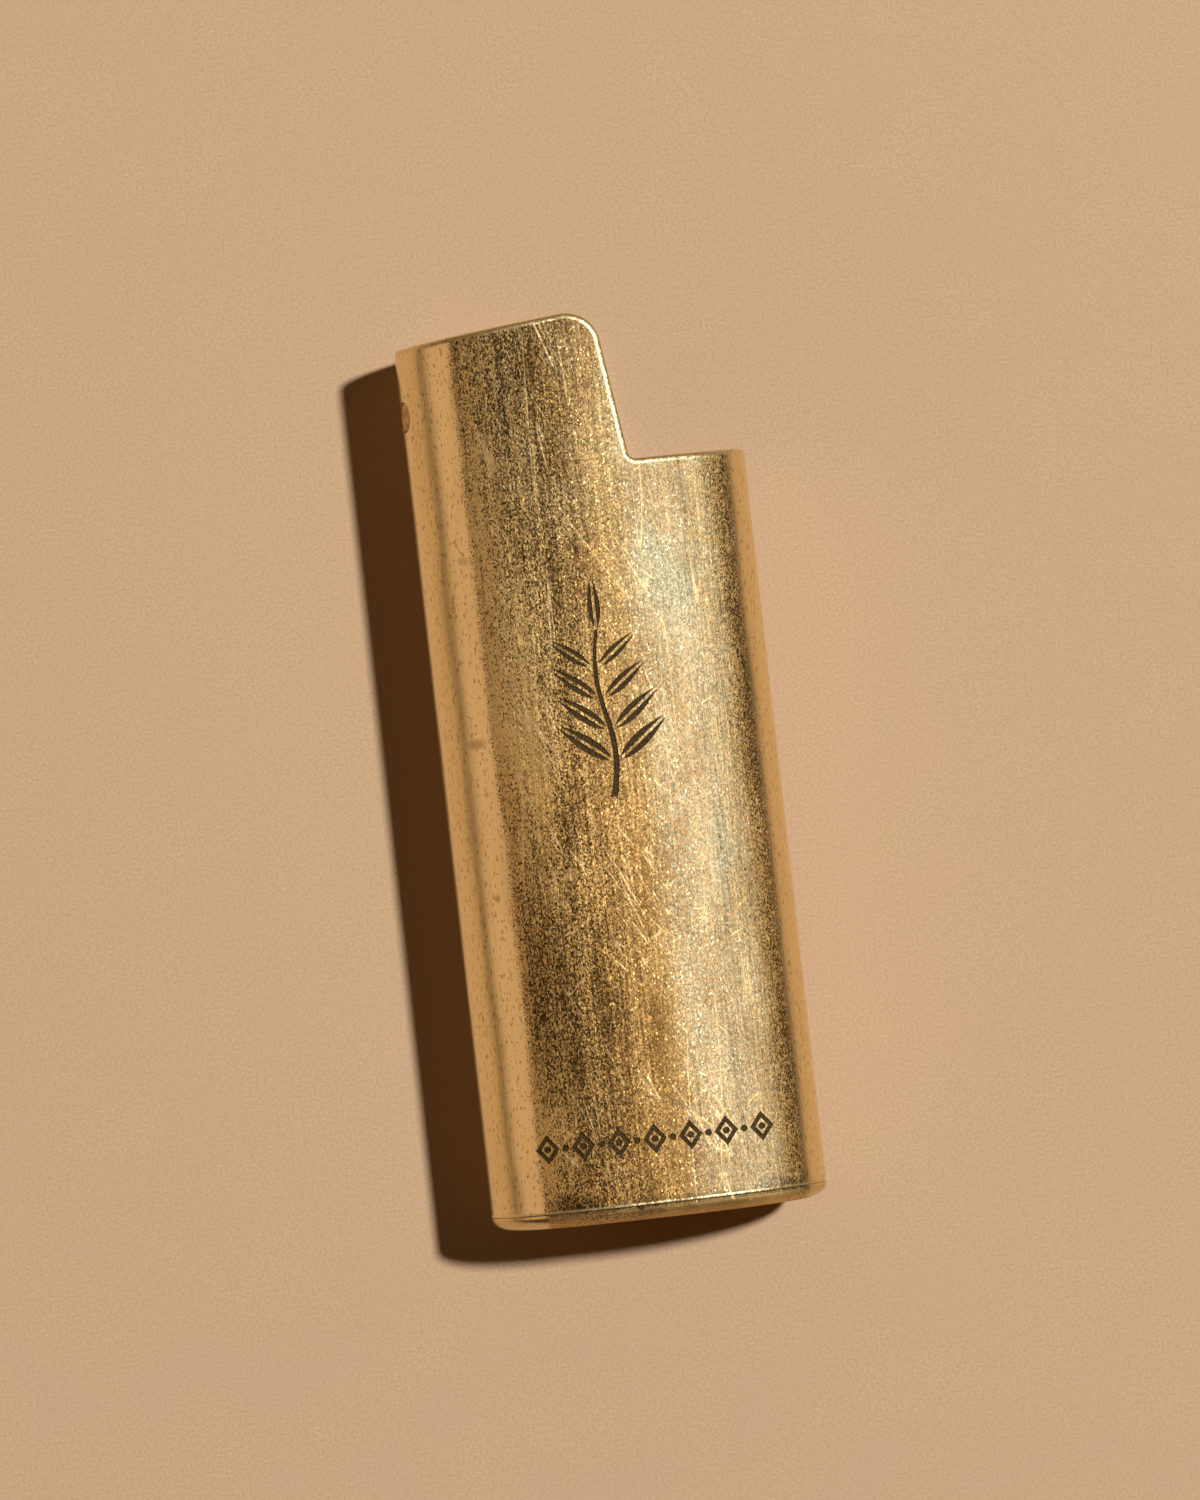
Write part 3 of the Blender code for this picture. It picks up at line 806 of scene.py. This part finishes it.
def add_line(name, points, closed=False):
    """Draws a line through points as by hand: one vertex is extruded from each point to the next."""
    bpy.ops.mesh.primitive_plane_add(size=MM, location=(0, 0, 0))
    obj = bpy.context.object
    obj.name = name
    start_edit(obj)
    pick("verts", lambda vert: vert.index > 0)
    bpy.ops.mesh.delete(type="VERT")
    pick("verts")
    start = points[0] - bmesh.from_edit_mesh(obj.data).verts[:][0].co
    bpy.ops.transform.translate(value=start)
    for point, following in zip(points, points[1:]):
        extrude(following - point)
    if closed:
        pick("verts", lambda vert: len(vert.link_edges) == 1)
        bpy.ops.mesh.edge_face_add()
        pick("edges")
        bpy.ops.mesh.edge_face_add()
    return finish_edit()


def turned(name, points, centre, axis, sides):
    """A closed round solid: a line that starts and ends on the axis is spun once round it."""
    obj = add_line(name, points)
    start_edit(obj)
    pick("edges")
    bpy.ops.mesh.spin(steps=sides, angle=math.tau, center=centre, axis=axis)
    pick("verts")
    bpy.ops.mesh.remove_doubles(threshold=TINY)
    face_outwards()
    return finish_edit()


def apply_modifier(obj, kind, **settings):
    """Adds a modifier with its settings and applies it at once."""
    choose(obj)
    modifier = obj.modifiers.new(kind.lower(), kind)
    for field, value in settings.items():
        setattr(modifier, field, value)
    bpy.ops.object.modifier_apply(modifier=modifier.name)


def carve(obj, cutter):
    """Cuts one solid out of another. The cut faces take the cutter's material, if it has one."""
    mode = "TRANSFER" if cutter.data.materials else "INDEX"
    apply_modifier(obj, "BOOLEAN", operation="DIFFERENCE", solver="EXACT", object=cutter, material_mode=mode)
    bpy.data.objects.remove(cutter)
    return obj


def finish_piece(obj, body, node):
    """Shades a piece, weighs its normals by face area, and puts it in the frame for its CAD node."""
    choose(obj)
    bpy.ops.object.shade_smooth_by_angle(angle=SMOOTH_ANGLE)
    apply_modifier(obj, "WEIGHTED_NORMAL", weight=100, keep_sharp=True)
    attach(obj, body)
    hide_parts(node)
    obj.data.calc_loop_triangles()
    print(obj.name, "has", len(obj.data.loop_triangles), "triangles")


# %% [markdown]
# ## The oval tube
#
# One function makes every oval. A circle is stretched to the ellipse of the wall's middle line, its halves
# are moved apart by the flat, and it is extruded along the case. Fattening it then gives any depth.

# %% Oval tube
def add_oval_tube(name, low, high, depth, filled=False):
    """An oval tube from one place to another along the case, at a depth below the outer face."""
    bpy.ops.mesh.primitive_circle_add(
        vertices=OVAL_SIDES, radius=1, location=(0, low, MID_Z), rotation=(math.pi / 2, 0, 0)
    )
    obj = bpy.context.object
    obj.name = name
    obj.scale = (OVAL_ACROSS, OVAL_UP, 1)
    bpy.ops.object.transform_apply(location=True, rotation=True, scale=True)
    start_edit(obj)
    for side in (1, -1):
        pick("verts", lambda vert: vert.co.x * side > TINY)
        bpy.ops.transform.translate(value=(side * HALF_FLAT, 0, 0))
    pick("edges")
    extrude((0, high - low, 0))
    face_outwards()
    bpy.ops.transform.shrink_fatten(value=HALF_WALL - depth, use_even_offset=True)
    if filled:
        for end in (low, high):
            pick("edges", at_y(end))
            bpy.ops.mesh.edge_face_add()
        face_outwards()
    return finish_edit()


# %% [markdown]
# ## Sleeve
#
# The real mouth was cut to the lighter's shape and tumbled until its lip was round. A bevel can't make that
# lip, because its strips fold through each other at the two corners where the tube curves as well. So this
# one piece is built point by point: each column runs up the outer wall, over a lip that is half an ellipse
# square to the rim, and down the inner wall.

# %% Mouth outline
HOOD_SLOPE = math.radians(5.2)
HOOD_WIDTH = 17.76 * MM
HOOD_CORNER_RADIUS = 2.8 * MM
SLANT_LEAN = math.radians(7.6)
THUMB_EDGE_HEIGHT = 60.3 * MM
THUMB_CORNER_RADIUS = 0.6 * MM
LIP_REACH = 0.5 * MM
QUARTER_STEPS = 44
HOOD_SLOPE_STEPS = 2
HOOD_CORNER_STEPS = 24
THUMB_CORNER_STEPS = 10
SLANT_STEPS = 9

thumb_y = BASE_Y + THUMB_EDGE_HEIGHT
slant_foot_x = HOOD_WIDTH - CASE_WIDTH / 2


def slant_corner(y, radius):
    """The middle of a rounded corner beside the slanted edge. A radius below zero is on the hood's side."""
    slant_x = slant_foot_x - (y - thumb_y) * math.tan(SLANT_LEAN)
    return Vector((slant_x + radius / math.cos(SLANT_LEAN), y))


hood_corner = slant_corner(MOUTH_Y - HOOD_CORNER_RADIUS, -HOOD_CORNER_RADIUS)
thumb_corner = slant_corner(thumb_y + THUMB_CORNER_RADIUS, THUMB_CORNER_RADIUS)


def rim_arc(centre, radius, start, end, steps, heading):
    """Rim places along an arc: the lip's middle, and the way that the rim leads there."""
    places = []
    for step in range(steps + 1):
        turn = start + (end - start) * step / steps
        out = Vector((math.cos(turn), math.sin(turn)))
        places.append((centre + out * radius, Vector((-out.y, out.x)) * heading))
    return places


def rim_places():
    """Rim places over the front half, from the hood's narrow side to the thumb side."""
    hood_radius = HOOD_CORNER_RADIUS - LIP_REACH
    thumb_radius = THUMB_CORNER_RADIUS + LIP_REACH
    top = math.pi / 2
    corner = rim_arc(hood_corner, hood_radius, top + HOOD_SLOPE, top, HOOD_SLOPE_STEPS, -1)
    corner += rim_arc(hood_corner, hood_radius, top, SLANT_LEAN, HOOD_CORNER_STEPS, -1)[1:]
    thumb = rim_arc(thumb_corner, thumb_radius, math.pi + SLANT_LEAN, top * 3, THUMB_CORNER_STEPS, 1)
    slant_top, slant_way = corner[-1]
    slant = [(slant_top.lerp(thumb[0][0], step / SLANT_STEPS), slant_way) for step in range(1, SLANT_STEPS)]
    corner += slant + thumb
    hood_way = Vector((math.cos(HOOD_SLOPE), math.sin(HOOD_SLOPE)))
    turns = [top * step / QUARTER_STEPS for step in range(QUARTER_STEPS + 1)]
    quarter = [HALF_FLAT + OVAL_ACROSS * math.cos(turn) for turn in turns]
    first, last = corner[0][0], corner[-1][0]
    margin = OVAL_ACROSS / QUARTER_STEPS / 4
    hood = []
    floor = []
    for x in sorted({side * place for place in quarter for side in (-1, 1)}):
        if x < first.x - margin:
            hood.append((Vector((x, first.y + (x - first.x) * math.tan(HOOD_SLOPE))), hood_way))
        elif x > last.x + margin:
            floor.append((Vector((x, last.y)), Vector((1, 0))))
    return hood + corner + floor


# %% Sleeve
LIP_STEPS = 10
WALL_STEPS = 20
RIM_WEAR = 0.45 * MM
FOOT_ROUNDING = 0.07 * MM
FOOT_STEPS = 3
FOOT_BURNISH = 0.2 * MM


def wall_frame(x):
    """On the front half, the wall's middle at a place across the case, and the outward direction."""
    if abs(x) <= HALF_FLAT:
        return Vector((x, 0, MID_Z + OVAL_UP)), Vector((0, 0, 1))
    shift = math.copysign(HALF_FLAT, x)
    across_share = max(-1, min(1, (x - shift) / OVAL_ACROSS))
    up_share = math.sqrt(1 - across_share * across_share)
    outward = Vector((across_share / OVAL_ACROSS, 0, up_share / OVAL_UP)).normalized()
    return Vector((x, 0, MID_Z + OVAL_UP * up_share)), outward


def sleeve_column(place, way):
    """One column of points: up the outer wall, over the lip, down the inner wall, with rounded feet."""
    middle, outward = wall_frame(place.x)
    along = Vector((outward.z, 0, -outward.x))
    rim_way = along * way.x + Vector((0, way.y * along.x, 0))
    lip_out = outward.cross(rim_way).normalized()
    crest = middle + Vector((0, place.y, 0))
    foot_top = SLEEVE_FOOT_Y + FOOT_ROUNDING
    feet = []
    for step in range(FOOT_STEPS + 1):
        turn = math.pi / 2 * step / FOOT_STEPS
        out = HALF_WALL - FOOT_ROUNDING * (1 - math.sin(turn))
        feet.append((out, foot_top - FOOT_ROUNDING * math.cos(turn)))
    wall_foot = foot_top + FOOT_BURNISH
    feet += [(HALF_WALL, foot_top + FOOT_BURNISH / 2), (HALF_WALL, wall_foot)]
    climb = place.y - RIM_WEAR - wall_foot
    climbs = [(HALF_WALL, wall_foot + climb * step / WALL_STEPS) for step in range(1, WALL_STEPS + 1)]
    outer = [middle + outward * out + Vector((0, y, 0)) for out, y in feet + climbs]
    inner = [middle - outward * out + Vector((0, y, 0)) for out, y in feet + climbs]
    lip = []
    for step in range(LIP_STEPS + 1):
        roll = math.pi * step / LIP_STEPS
        lip.append(crest + outward * HALF_WALL * math.cos(roll) + lip_out * LIP_REACH * math.sin(roll))
    return outer + lip + inner[::-1]


def make_sleeve():
    """The front half's columns and their mirror images on the back, joined by four-sided faces."""
    front = [sleeve_column(place, way) for place, way in rim_places()]
    back = [[Vector((p.x, p.y, 2 * MID_Z - p.z)) for p in column] for column in front[-2:0:-1]]
    columns = front + back
    high = len(front[0])
    faces = []
    for index in range(len(columns)):
        here = index * high
        there = (index + 1) % len(columns) * high
        for step in range(high):
            following = (step + 1) % high
            faces.append((here + step, here + following, there + following, there + step))
    mesh = bpy.data.meshes.new("oval_sleeve")
    mesh.from_pydata([point for column in columns for point in column], [], faces)
    rim = mesh.attributes.new("rim", "FLOAT", "POINT")
    burnish_end = FOOT_STEPS + 2
    lip_start = burnish_end + 1 + WALL_STEPS
    for index, point in enumerate(rim.data):
        step = index % high
        climb_share = (step - lip_start) / LIP_STEPS
        lip_value = min(1, 3 * math.sin(math.pi * max(0, min(1, climb_share))))
        point.value = 1 if step < burnish_end else lip_value
    for index, face in enumerate(mesh.polygons):
        face.material_index = 1 if index % high >= lip_start + LIP_STEPS else 0
    obj = bpy.data.objects.new("oval_sleeve", mesh)
    bpy.context.collection.objects.link(obj)
    start_edit(obj)
    face_outwards()
    return finish_edit()


sleeve = make_sleeve()
sleeve.data.materials.append(drawn_brass_material())
sleeve.data.materials.append(bore_brass_material())

# %% [markdown]
# ## Base cap
#
# The real cap is stamped from sheet. Here it starts as the oval outline at full size. Its base edge is twice
# as wide as it is high: an inset sets how wide, and a bevel by a share of the faces beside it makes the
# curve. The spigot is an inset and an extrusion of the top face, and the hollow the same back down.

# %% Base cap
SEAM_GAP = 0.02 * MM
OVERRUN = 4 * MM
CAP_SHEET = 0.8 * MM
BASE_EDGE_RISE = 1.0 * MM
BASE_EDGE_REACH = 2.1 * MM
BASE_SEGMENTS = 12
SEAM_ROUNDING = 0.04 * MM
EDGE_SEGMENTS = 3
SPIGOT_CLEARANCE = 0.1 * MM
SPIGOT_ROUNDING = 0.2 * MM
CAP_INNER_ROUNDING = 0.6 * MM
PUSH_HOLE = 7.0 * MM
HOLE_ROUNDING = 0.15 * MM
HOLE_SIDES = 96
HOLE_MARGIN = 0.3 * MM

seam_y = SLEEVE_FOOT_Y - SEAM_GAP
spigot_y = CAP_HIGH.y
floor_y = BASE_Y + CAP_SHEET


def make_base_cap():
    cap = add_oval_tube("closed_base", BASE_Y, seam_y, 0, filled=True)
    start_edit(cap)
    edge_share = BASE_EDGE_RISE / (seam_y - BASE_Y)
    pick("faces", at_y(BASE_Y))
    bpy.ops.mesh.inset(thickness=BASE_EDGE_REACH / edge_share, use_even_offset=True)
    pick("edges", at_y(BASE_Y), is_corner)
    bevel(100 * edge_share, BASE_SEGMENTS, offset_type="PERCENT")
    pick("faces", at_y(seam_y))
    bpy.ops.mesh.inset(thickness=WALL + SPIGOT_CLEARANCE, use_even_offset=True)
    extrude((0, spigot_y - seam_y, 0))
    bpy.ops.mesh.inset(thickness=CAP_SHEET, use_even_offset=True)
    extrude((0, floor_y - spigot_y, 0))
    pick("edges", at_y(floor_y))
    bevel(CAP_INNER_ROUNDING, BASE_SEGMENTS)
    pick("edges", at_y(spigot_y), is_corner)
    bevel(SPIGOT_ROUNDING, EDGE_SEGMENTS)
    pick("edges", at_y(seam_y), is_corner, lambda edge: edge.is_convex)
    bevel(SEAM_ROUNDING, EDGE_SEGMENTS)
    finish_edit()
    low = Vector((0, BASE_Y - OVERRUN, MID_Z))
    high = Vector((0, floor_y + OVERRUN, MID_Z))
    out = Vector((PUSH_HOLE / 2, 0, 0))
    carve(cap, turned("push_hole_cutter", [low, low + out, high + out, high], low, (0, 1, 0), HOLE_SIDES))
    start_edit(cap)
    reach = PUSH_HOLE / 2 + HOLE_MARGIN
    near_axis = lambda edge: all(math.hypot(vert.co.x, vert.co.z - MID_Z) < reach for vert in edge.verts)
    pick("edges", is_corner, near_axis)
    bevel(HOLE_ROUNDING, EDGE_SEGMENTS)
    return finish_edit()


cap = make_base_cap()

# %% [markdown]
# ## Rivet and leaf spring
#
# Both sit square to the wall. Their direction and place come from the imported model's joint, whose axis runs
# across the leaf, and from a ray that finds the wall's outer face. Each is modelled at the origin, with X
# pointing into the case, then put in place.

# %% Rivet
RIVET_RADIUS = 2.36 * MM / 2
RIVET_SINK = 0.14 * MM
RIVET_LAND = 0.16 * MM
RIVET_CONE = 0.3 * MM
RIVET_EDGE = 0.07 * MM
SHANK_RADIUS = 1.3 * MM / 2
HEAD_RADIUS = 2.6 * MM / 2
HEAD_HEIGHT = 0.45 * MM
HEAD_CROWN = 0.2 * MM
HEAD_STEPS = 8
HEAD_CLEARANCE = 0.08 * MM
HOLE_CLEARANCE = 0.05 * MM
RIVET_SIDES = 72
LEAF_THICKNESS = 0.3 * MM

joint = frame["joints"][0]
hinge = Vector(joint["pos_m"])
leaf_up = -Vector(joint["axis"]).normalized()
inward = Vector((0, 1, 0)).cross(leaf_up)
rivet_seat = sleeve.ray_cast(hinge - inward * OVERRUN, inward)[1]
hinge_depth = (hinge - rivet_seat).dot(inward)
seat_place = Matrix.Translation(rivet_seat) @ Matrix((inward, (0, 1, 0), leaf_up)).transposed().to_4x4()
print("the leaf's middle is %.2f mm below the outer face" % (hinge_depth / MM))


def place_on_seat(obj):
    """Turns and moves a piece from the origin to the rivet's seat, and applies that to its mesh."""
    obj.matrix_world = seat_place
    choose(obj)
    bpy.ops.object.transform_apply(location=True, rotation=True, scale=True)
    return obj


def turned_on_seat(name, profile):
    """A round solid on the rivet's axis, from depths below the outer face and radii."""
    points = [Vector((depth, radius, 0)) for depth, radius in profile]
    return place_on_seat(turned(name, points, (0, 0, 0), (1, 0, 0), RIVET_SIDES))


def make_rivet():
    """Filed flat outside, countersunk in the wall, and headed over on the leaf inside."""
    land = RIVET_SINK + RIVET_LAND
    under_head = hinge_depth + LEAF_THICKNESS / 2 + HEAD_CLEARANCE
    shoulder = under_head + HEAD_HEIGHT - HEAD_CROWN
    profile = [
        (RIVET_SINK, 0),
        (RIVET_SINK, RIVET_RADIUS - RIVET_EDGE),
        (RIVET_SINK + RIVET_EDGE, RIVET_RADIUS),
        (land, RIVET_RADIUS),
        (land + RIVET_CONE, SHANK_RADIUS),
        (under_head, SHANK_RADIUS),
        (under_head, HEAD_RADIUS),
    ]
    for step in range(HEAD_STEPS + 1):
        turn = math.pi / 2 * step / HEAD_STEPS
        profile.append((shoulder + HEAD_CROWN * math.sin(turn), HEAD_RADIUS * math.cos(turn)))
    return turned_on_seat("flush_rivet", profile)


def rivet_hole_cutter():
    land = RIVET_SINK + RIVET_LAND + HOLE_CLEARANCE
    outer = RIVET_RADIUS + HOLE_CLEARANCE
    shank = SHANK_RADIUS + HOLE_CLEARANCE
    end = WALL + OVERRUN / 2
    start = -OVERRUN / 2
    profile = [(start, 0), (start, outer), (land, outer), (land + RIVET_CONE, shank), (end, shank), (end, 0)]
    return turned_on_seat("rivet_hole_cutter", profile)


rivet = make_rivet()
carve(sleeve, rivet_hole_cutter())

# %% [markdown]
# The leaf spring is a strip: a foot under the rivet's head, a blade that leans into the bore, and a tip that
# turns back for the lighter. Its side line is extruded to the strip's width and narrowed towards the tip.
# Bevels bend it, and Solidify gives it its thickness.

# %% Leaf spring
LEAF_WIDTH = 3.2 * MM
LEAF_TIP_WIDTH = 2.4 * MM
LEAF_FOOT = 2.2 * MM
LEAF_BLADE = 14.8 * MM
LEAF_RISE = 0.8 * MM
LEAF_TIP = 1.8 * MM
LEAF_TIP_FALL = 0.2 * MM
LEAF_BEND_REACH = 0.7 * MM
CORNER_SEGMENTS = 16
BEND_SEGMENTS = 8
LEAF_HOLE_CLEARANCE = 0.1 * MM
LEAF_EDGE = 0.05 * MM
LEAF_MERGE = 0.01 * MM


def make_leaf():
    end = LEAF_FOOT + LEAF_BLADE + LEAF_TIP
    bends = {
        -LEAF_WIDTH / 2: 0,
        LEAF_FOOT: 0,
        LEAF_FOOT + LEAF_BLADE: LEAF_RISE,
        end: LEAF_RISE - LEAF_TIP_FALL,
    }
    points = [Vector((hinge_depth + rise, -drop, -LEAF_WIDTH / 2)) for drop, rise in bends.items()]
    leaf = add_line("leaf_spring", points)
    start_edit(leaf)
    pick("edges")
    extrude((0, 0, LEAF_WIDTH))
    for drop in (LEAF_FOOT + LEAF_BLADE, end):
        taper_share = (drop - LEAF_FOOT) / (LEAF_BLADE + LEAF_TIP)
        width_share = 1 + (LEAF_TIP_WIDTH / LEAF_WIDTH - 1) * taper_share
        pick("verts", at_y(-drop))
        bpy.ops.transform.resize(value=(1, 1, width_share), center_override=(hinge_depth, -drop, 0))
    pick("edges", lambda edge: len(edge.link_faces) == 2)
    bevel(LEAF_BEND_REACH, BEND_SEGMENTS)
    pick("verts", at_y(LEAF_WIDTH / 2))
    bevel(LEAF_WIDTH / 2 - TINY, CORNER_SEGMENTS, affect="VERTICES")
    pick("verts", at_y(-end))
    bevel(LEAF_TIP_WIDTH / 4, BEND_SEGMENTS, affect="VERTICES")
    pick("verts")
    bpy.ops.mesh.remove_doubles(threshold=LEAF_MERGE)
    finish_edit()
    apply_modifier(leaf, "SOLIDIFY", thickness=LEAF_THICKNESS, offset=0, use_even_offset=True)
    start_edit(leaf)
    face_outwards()
    pick("edges", is_corner)
    bevel(LEAF_EDGE, EDGE_SEGMENTS)
    finish_edit()
    radius = SHANK_RADIUS + LEAF_HOLE_CLEARANCE
    hole = [(0, 0), (0, radius), (OVERRUN, radius), (OVERRUN, 0)]
    place_on_seat(leaf)
    return carve(leaf, turned_on_seat("leaf_hole_cutter", hole))


leaf = make_leaf()

# %% [markdown]
# ## Engraving
#
# A laser burnt a sprig on the front and a row of lozenges over the base. Each outline is filled and raised
# through the front wall. An oval solid, a little smaller than the sleeve, is cut out of them all, so that
# they reach only a tenth of a millimetre under the curved surface. They are then cut out of the sleeve.

# %% Engraving
ENGRAVING_DEPTH = 0.12 * MM
SPRIG_X = 0.1 * MM
SPRIG_Y = 4.9 * MM
STEM_LENGTH = 13.4 * MM
STEM_WIDTH = 0.52 * MM
STEM_SWAY = 0.45 * MM
STEM_STEPS = 14
LEAF_PAIRS = 4
LEAF_LENGTH = 4.9 * MM
LEAF_HALF_WIDTH = 0.62 * MM
LEAF_GAP = 0.24 * MM
LEAF_STEPS = 9
LEAF_LEAN = math.radians(38)
LEAF_SWELL_POWER = 0.8
RIB_START_SHARE = 0.06
RIB_END_SHARE = 0.97
RIB_NARROW_SHARE = 0.9
SMALLEST_LEAF_SHARE = 0.66
TOP_LEAF_SHARE = 0.8
STEM_BELOW_SHARE = 0.55
FIRST_PAIR_SHARE = 0.2
PAIRS_SPAN_SHARE = 0.75
BORDER_X = 0.2 * MM
BORDER_Y = -29.8 * MM
BORDER_LENGTH = 20 * MM
BORDER_LOZENGES = 7
LOZENGE_WIDTH = 1.9 * MM
LOZENGE_HEIGHT = 2.4 * MM
LOZENGE_STROKE = 0.34 * MM
DOT_DIAMETER = 0.55 * MM
DOT_SIDES = 20


def stem_point(share):
    """A point of the stem, which sways gently, at a share of its length from its foot."""
    sway = STEM_SWAY * math.sin(math.tau * share)
    return Vector((SPRIG_X + sway, SPRIG_Y + STEM_LENGTH * (share - STEM_BELOW_SHARE), 0))


def stem_outline():
    """A thin shape round the stem's line that narrows to its upper end."""
    right = []
    left = []
    for step in range(STEM_STEPS + 1):
        share = step / STEM_STEPS
        half = STEM_WIDTH / 2 * (1 - share / 2)
        point = stem_point(share)
        right.append(point + Vector((half, 0, 0)))
        left.append(point - Vector((half, 0, 0)))
    return right + left[::-1]


def leaf_half(root, way, length, side):
    """The outline of one half of a pointed leaf, beside the thin rib that is left uncut."""
    across = Vector((way.y, -way.x, 0)) * side
    rib = LEAF_GAP / 2
    points = []
    for step in range(LEAF_STEPS + 1):
        share = step / LEAF_STEPS
        swell = math.sin(math.pi * share ** LEAF_SWELL_POWER)
        width = rib + (LEAF_HALF_WIDTH * length / LEAF_LENGTH - rib) * swell
        points.append(root + way * length * share + across * width)
    for share in (RIB_END_SHARE, RIB_START_SHARE):
        points.append(root + way * length * share + across * rib * RIB_NARROW_SHARE)
    return points


def raise_prism(obj):
    """Extrudes a flat face up through the front of the case."""
    start_edit(obj)
    pick("faces")
    extrude((0, 0, CASE_THICKNESS))
    face_outwards()
    return finish_edit()


def add_prism(name, outline):
    """Fills an outline at mid height and raises it."""
    return raise_prism(add_line(name, [point + Vector((0, 0, MID_Z)) for point in outline], closed=True))


def sprig_prisms():
    prisms = [add_prism("stem", stem_outline())]
    for pair in range(LEAF_PAIRS):
        climb = pair / LEAF_PAIRS
        root = stem_point(FIRST_PAIR_SHARE + PAIRS_SPAN_SHARE * climb)
        length = LEAF_LENGTH * (1 - (1 - SMALLEST_LEAF_SHARE) * climb)
        for side in (-1, 1):
            way = Vector((side * math.cos(LEAF_LEAN), math.sin(LEAF_LEAN), 0))
            for half in (-1, 1):
                prisms.append(add_prism("leaf", leaf_half(root + way * STEM_WIDTH, way, length, half)))
    top = stem_point(1) + Vector((0, STEM_WIDTH / 4, 0))
    for half in (-1, 1):
        outline = leaf_half(top, Vector((0, 1, 0)), LEAF_LENGTH * TOP_LEAF_SHARE, half)
        prisms.append(add_prism("leaf", outline))
    return prisms


def add_dot(x, y):
    bpy.ops.mesh.primitive_circle_add(
        vertices=DOT_SIDES, radius=DOT_DIAMETER / 2, fill_type="NGON", location=(x, y, MID_Z)
    )
    bpy.ops.object.transform_apply(location=True, rotation=True, scale=True)
    return raise_prism(bpy.context.object)


def add_lozenge(x, y):
    """A lozenge drawn as a stroke: its filled outline is inset and the inner face taken out."""
    half_width = LOZENGE_WIDTH / 2
    half_height = LOZENGE_HEIGHT / 2
    corners = [(half_width, 0), (0, half_height), (-half_width, 0), (0, -half_height)]
    obj = add_line("lozenge", [Vector((x + dx, y + dy, MID_Z)) for dx, dy in corners], closed=True)
    start_edit(obj)
    pick("faces")
    bpy.ops.mesh.inset(thickness=LOZENGE_STROKE, use_even_offset=True)
    bpy.ops.mesh.delete(type="FACE")
    return raise_prism(finish_edit())


def border_prisms():
    prisms = []
    pitch = BORDER_LENGTH / BORDER_LOZENGES
    for index in range(BORDER_LOZENGES):
        x = BORDER_X + (index - (BORDER_LOZENGES - 1) / 2) * pitch
        prisms.append(add_lozenge(x, BORDER_Y))
        prisms.append(add_dot(x, BORDER_Y))
        if index < BORDER_LOZENGES - 1:
            prisms.append(add_dot(x + pitch / 2, BORDER_Y))
    return prisms


def engraving_cutter(material):
    choose(*sprig_prisms(), *border_prisms())
    bpy.ops.object.join()
    cutter = bpy.context.object
    cutter.data.materials.append(material)
    core = add_oval_tube("engraving_core", SLEEVE_FOOT_Y, MOUTH_Y, ENGRAVING_DEPTH, filled=True)
    core.data.materials.append(material)
    return carve(cutter, core)


carve(sleeve, engraving_cutter(burnt_brass_material()))
cap.data.materials.append(drawn_brass_material("stamped_brass", line_share=STAMPED_LINE_SHARE))
rivet.data.materials.append(rivet_brass_material())
leaf.data.materials.append(spring_bronze_material())
finish_piece(sleeve, "case", "sleeve")
finish_piece(cap, "case", "base_cap")
finish_piece(rivet, "case", "spring_rivet")
finish_piece(leaf, "spring", "grip_spring")
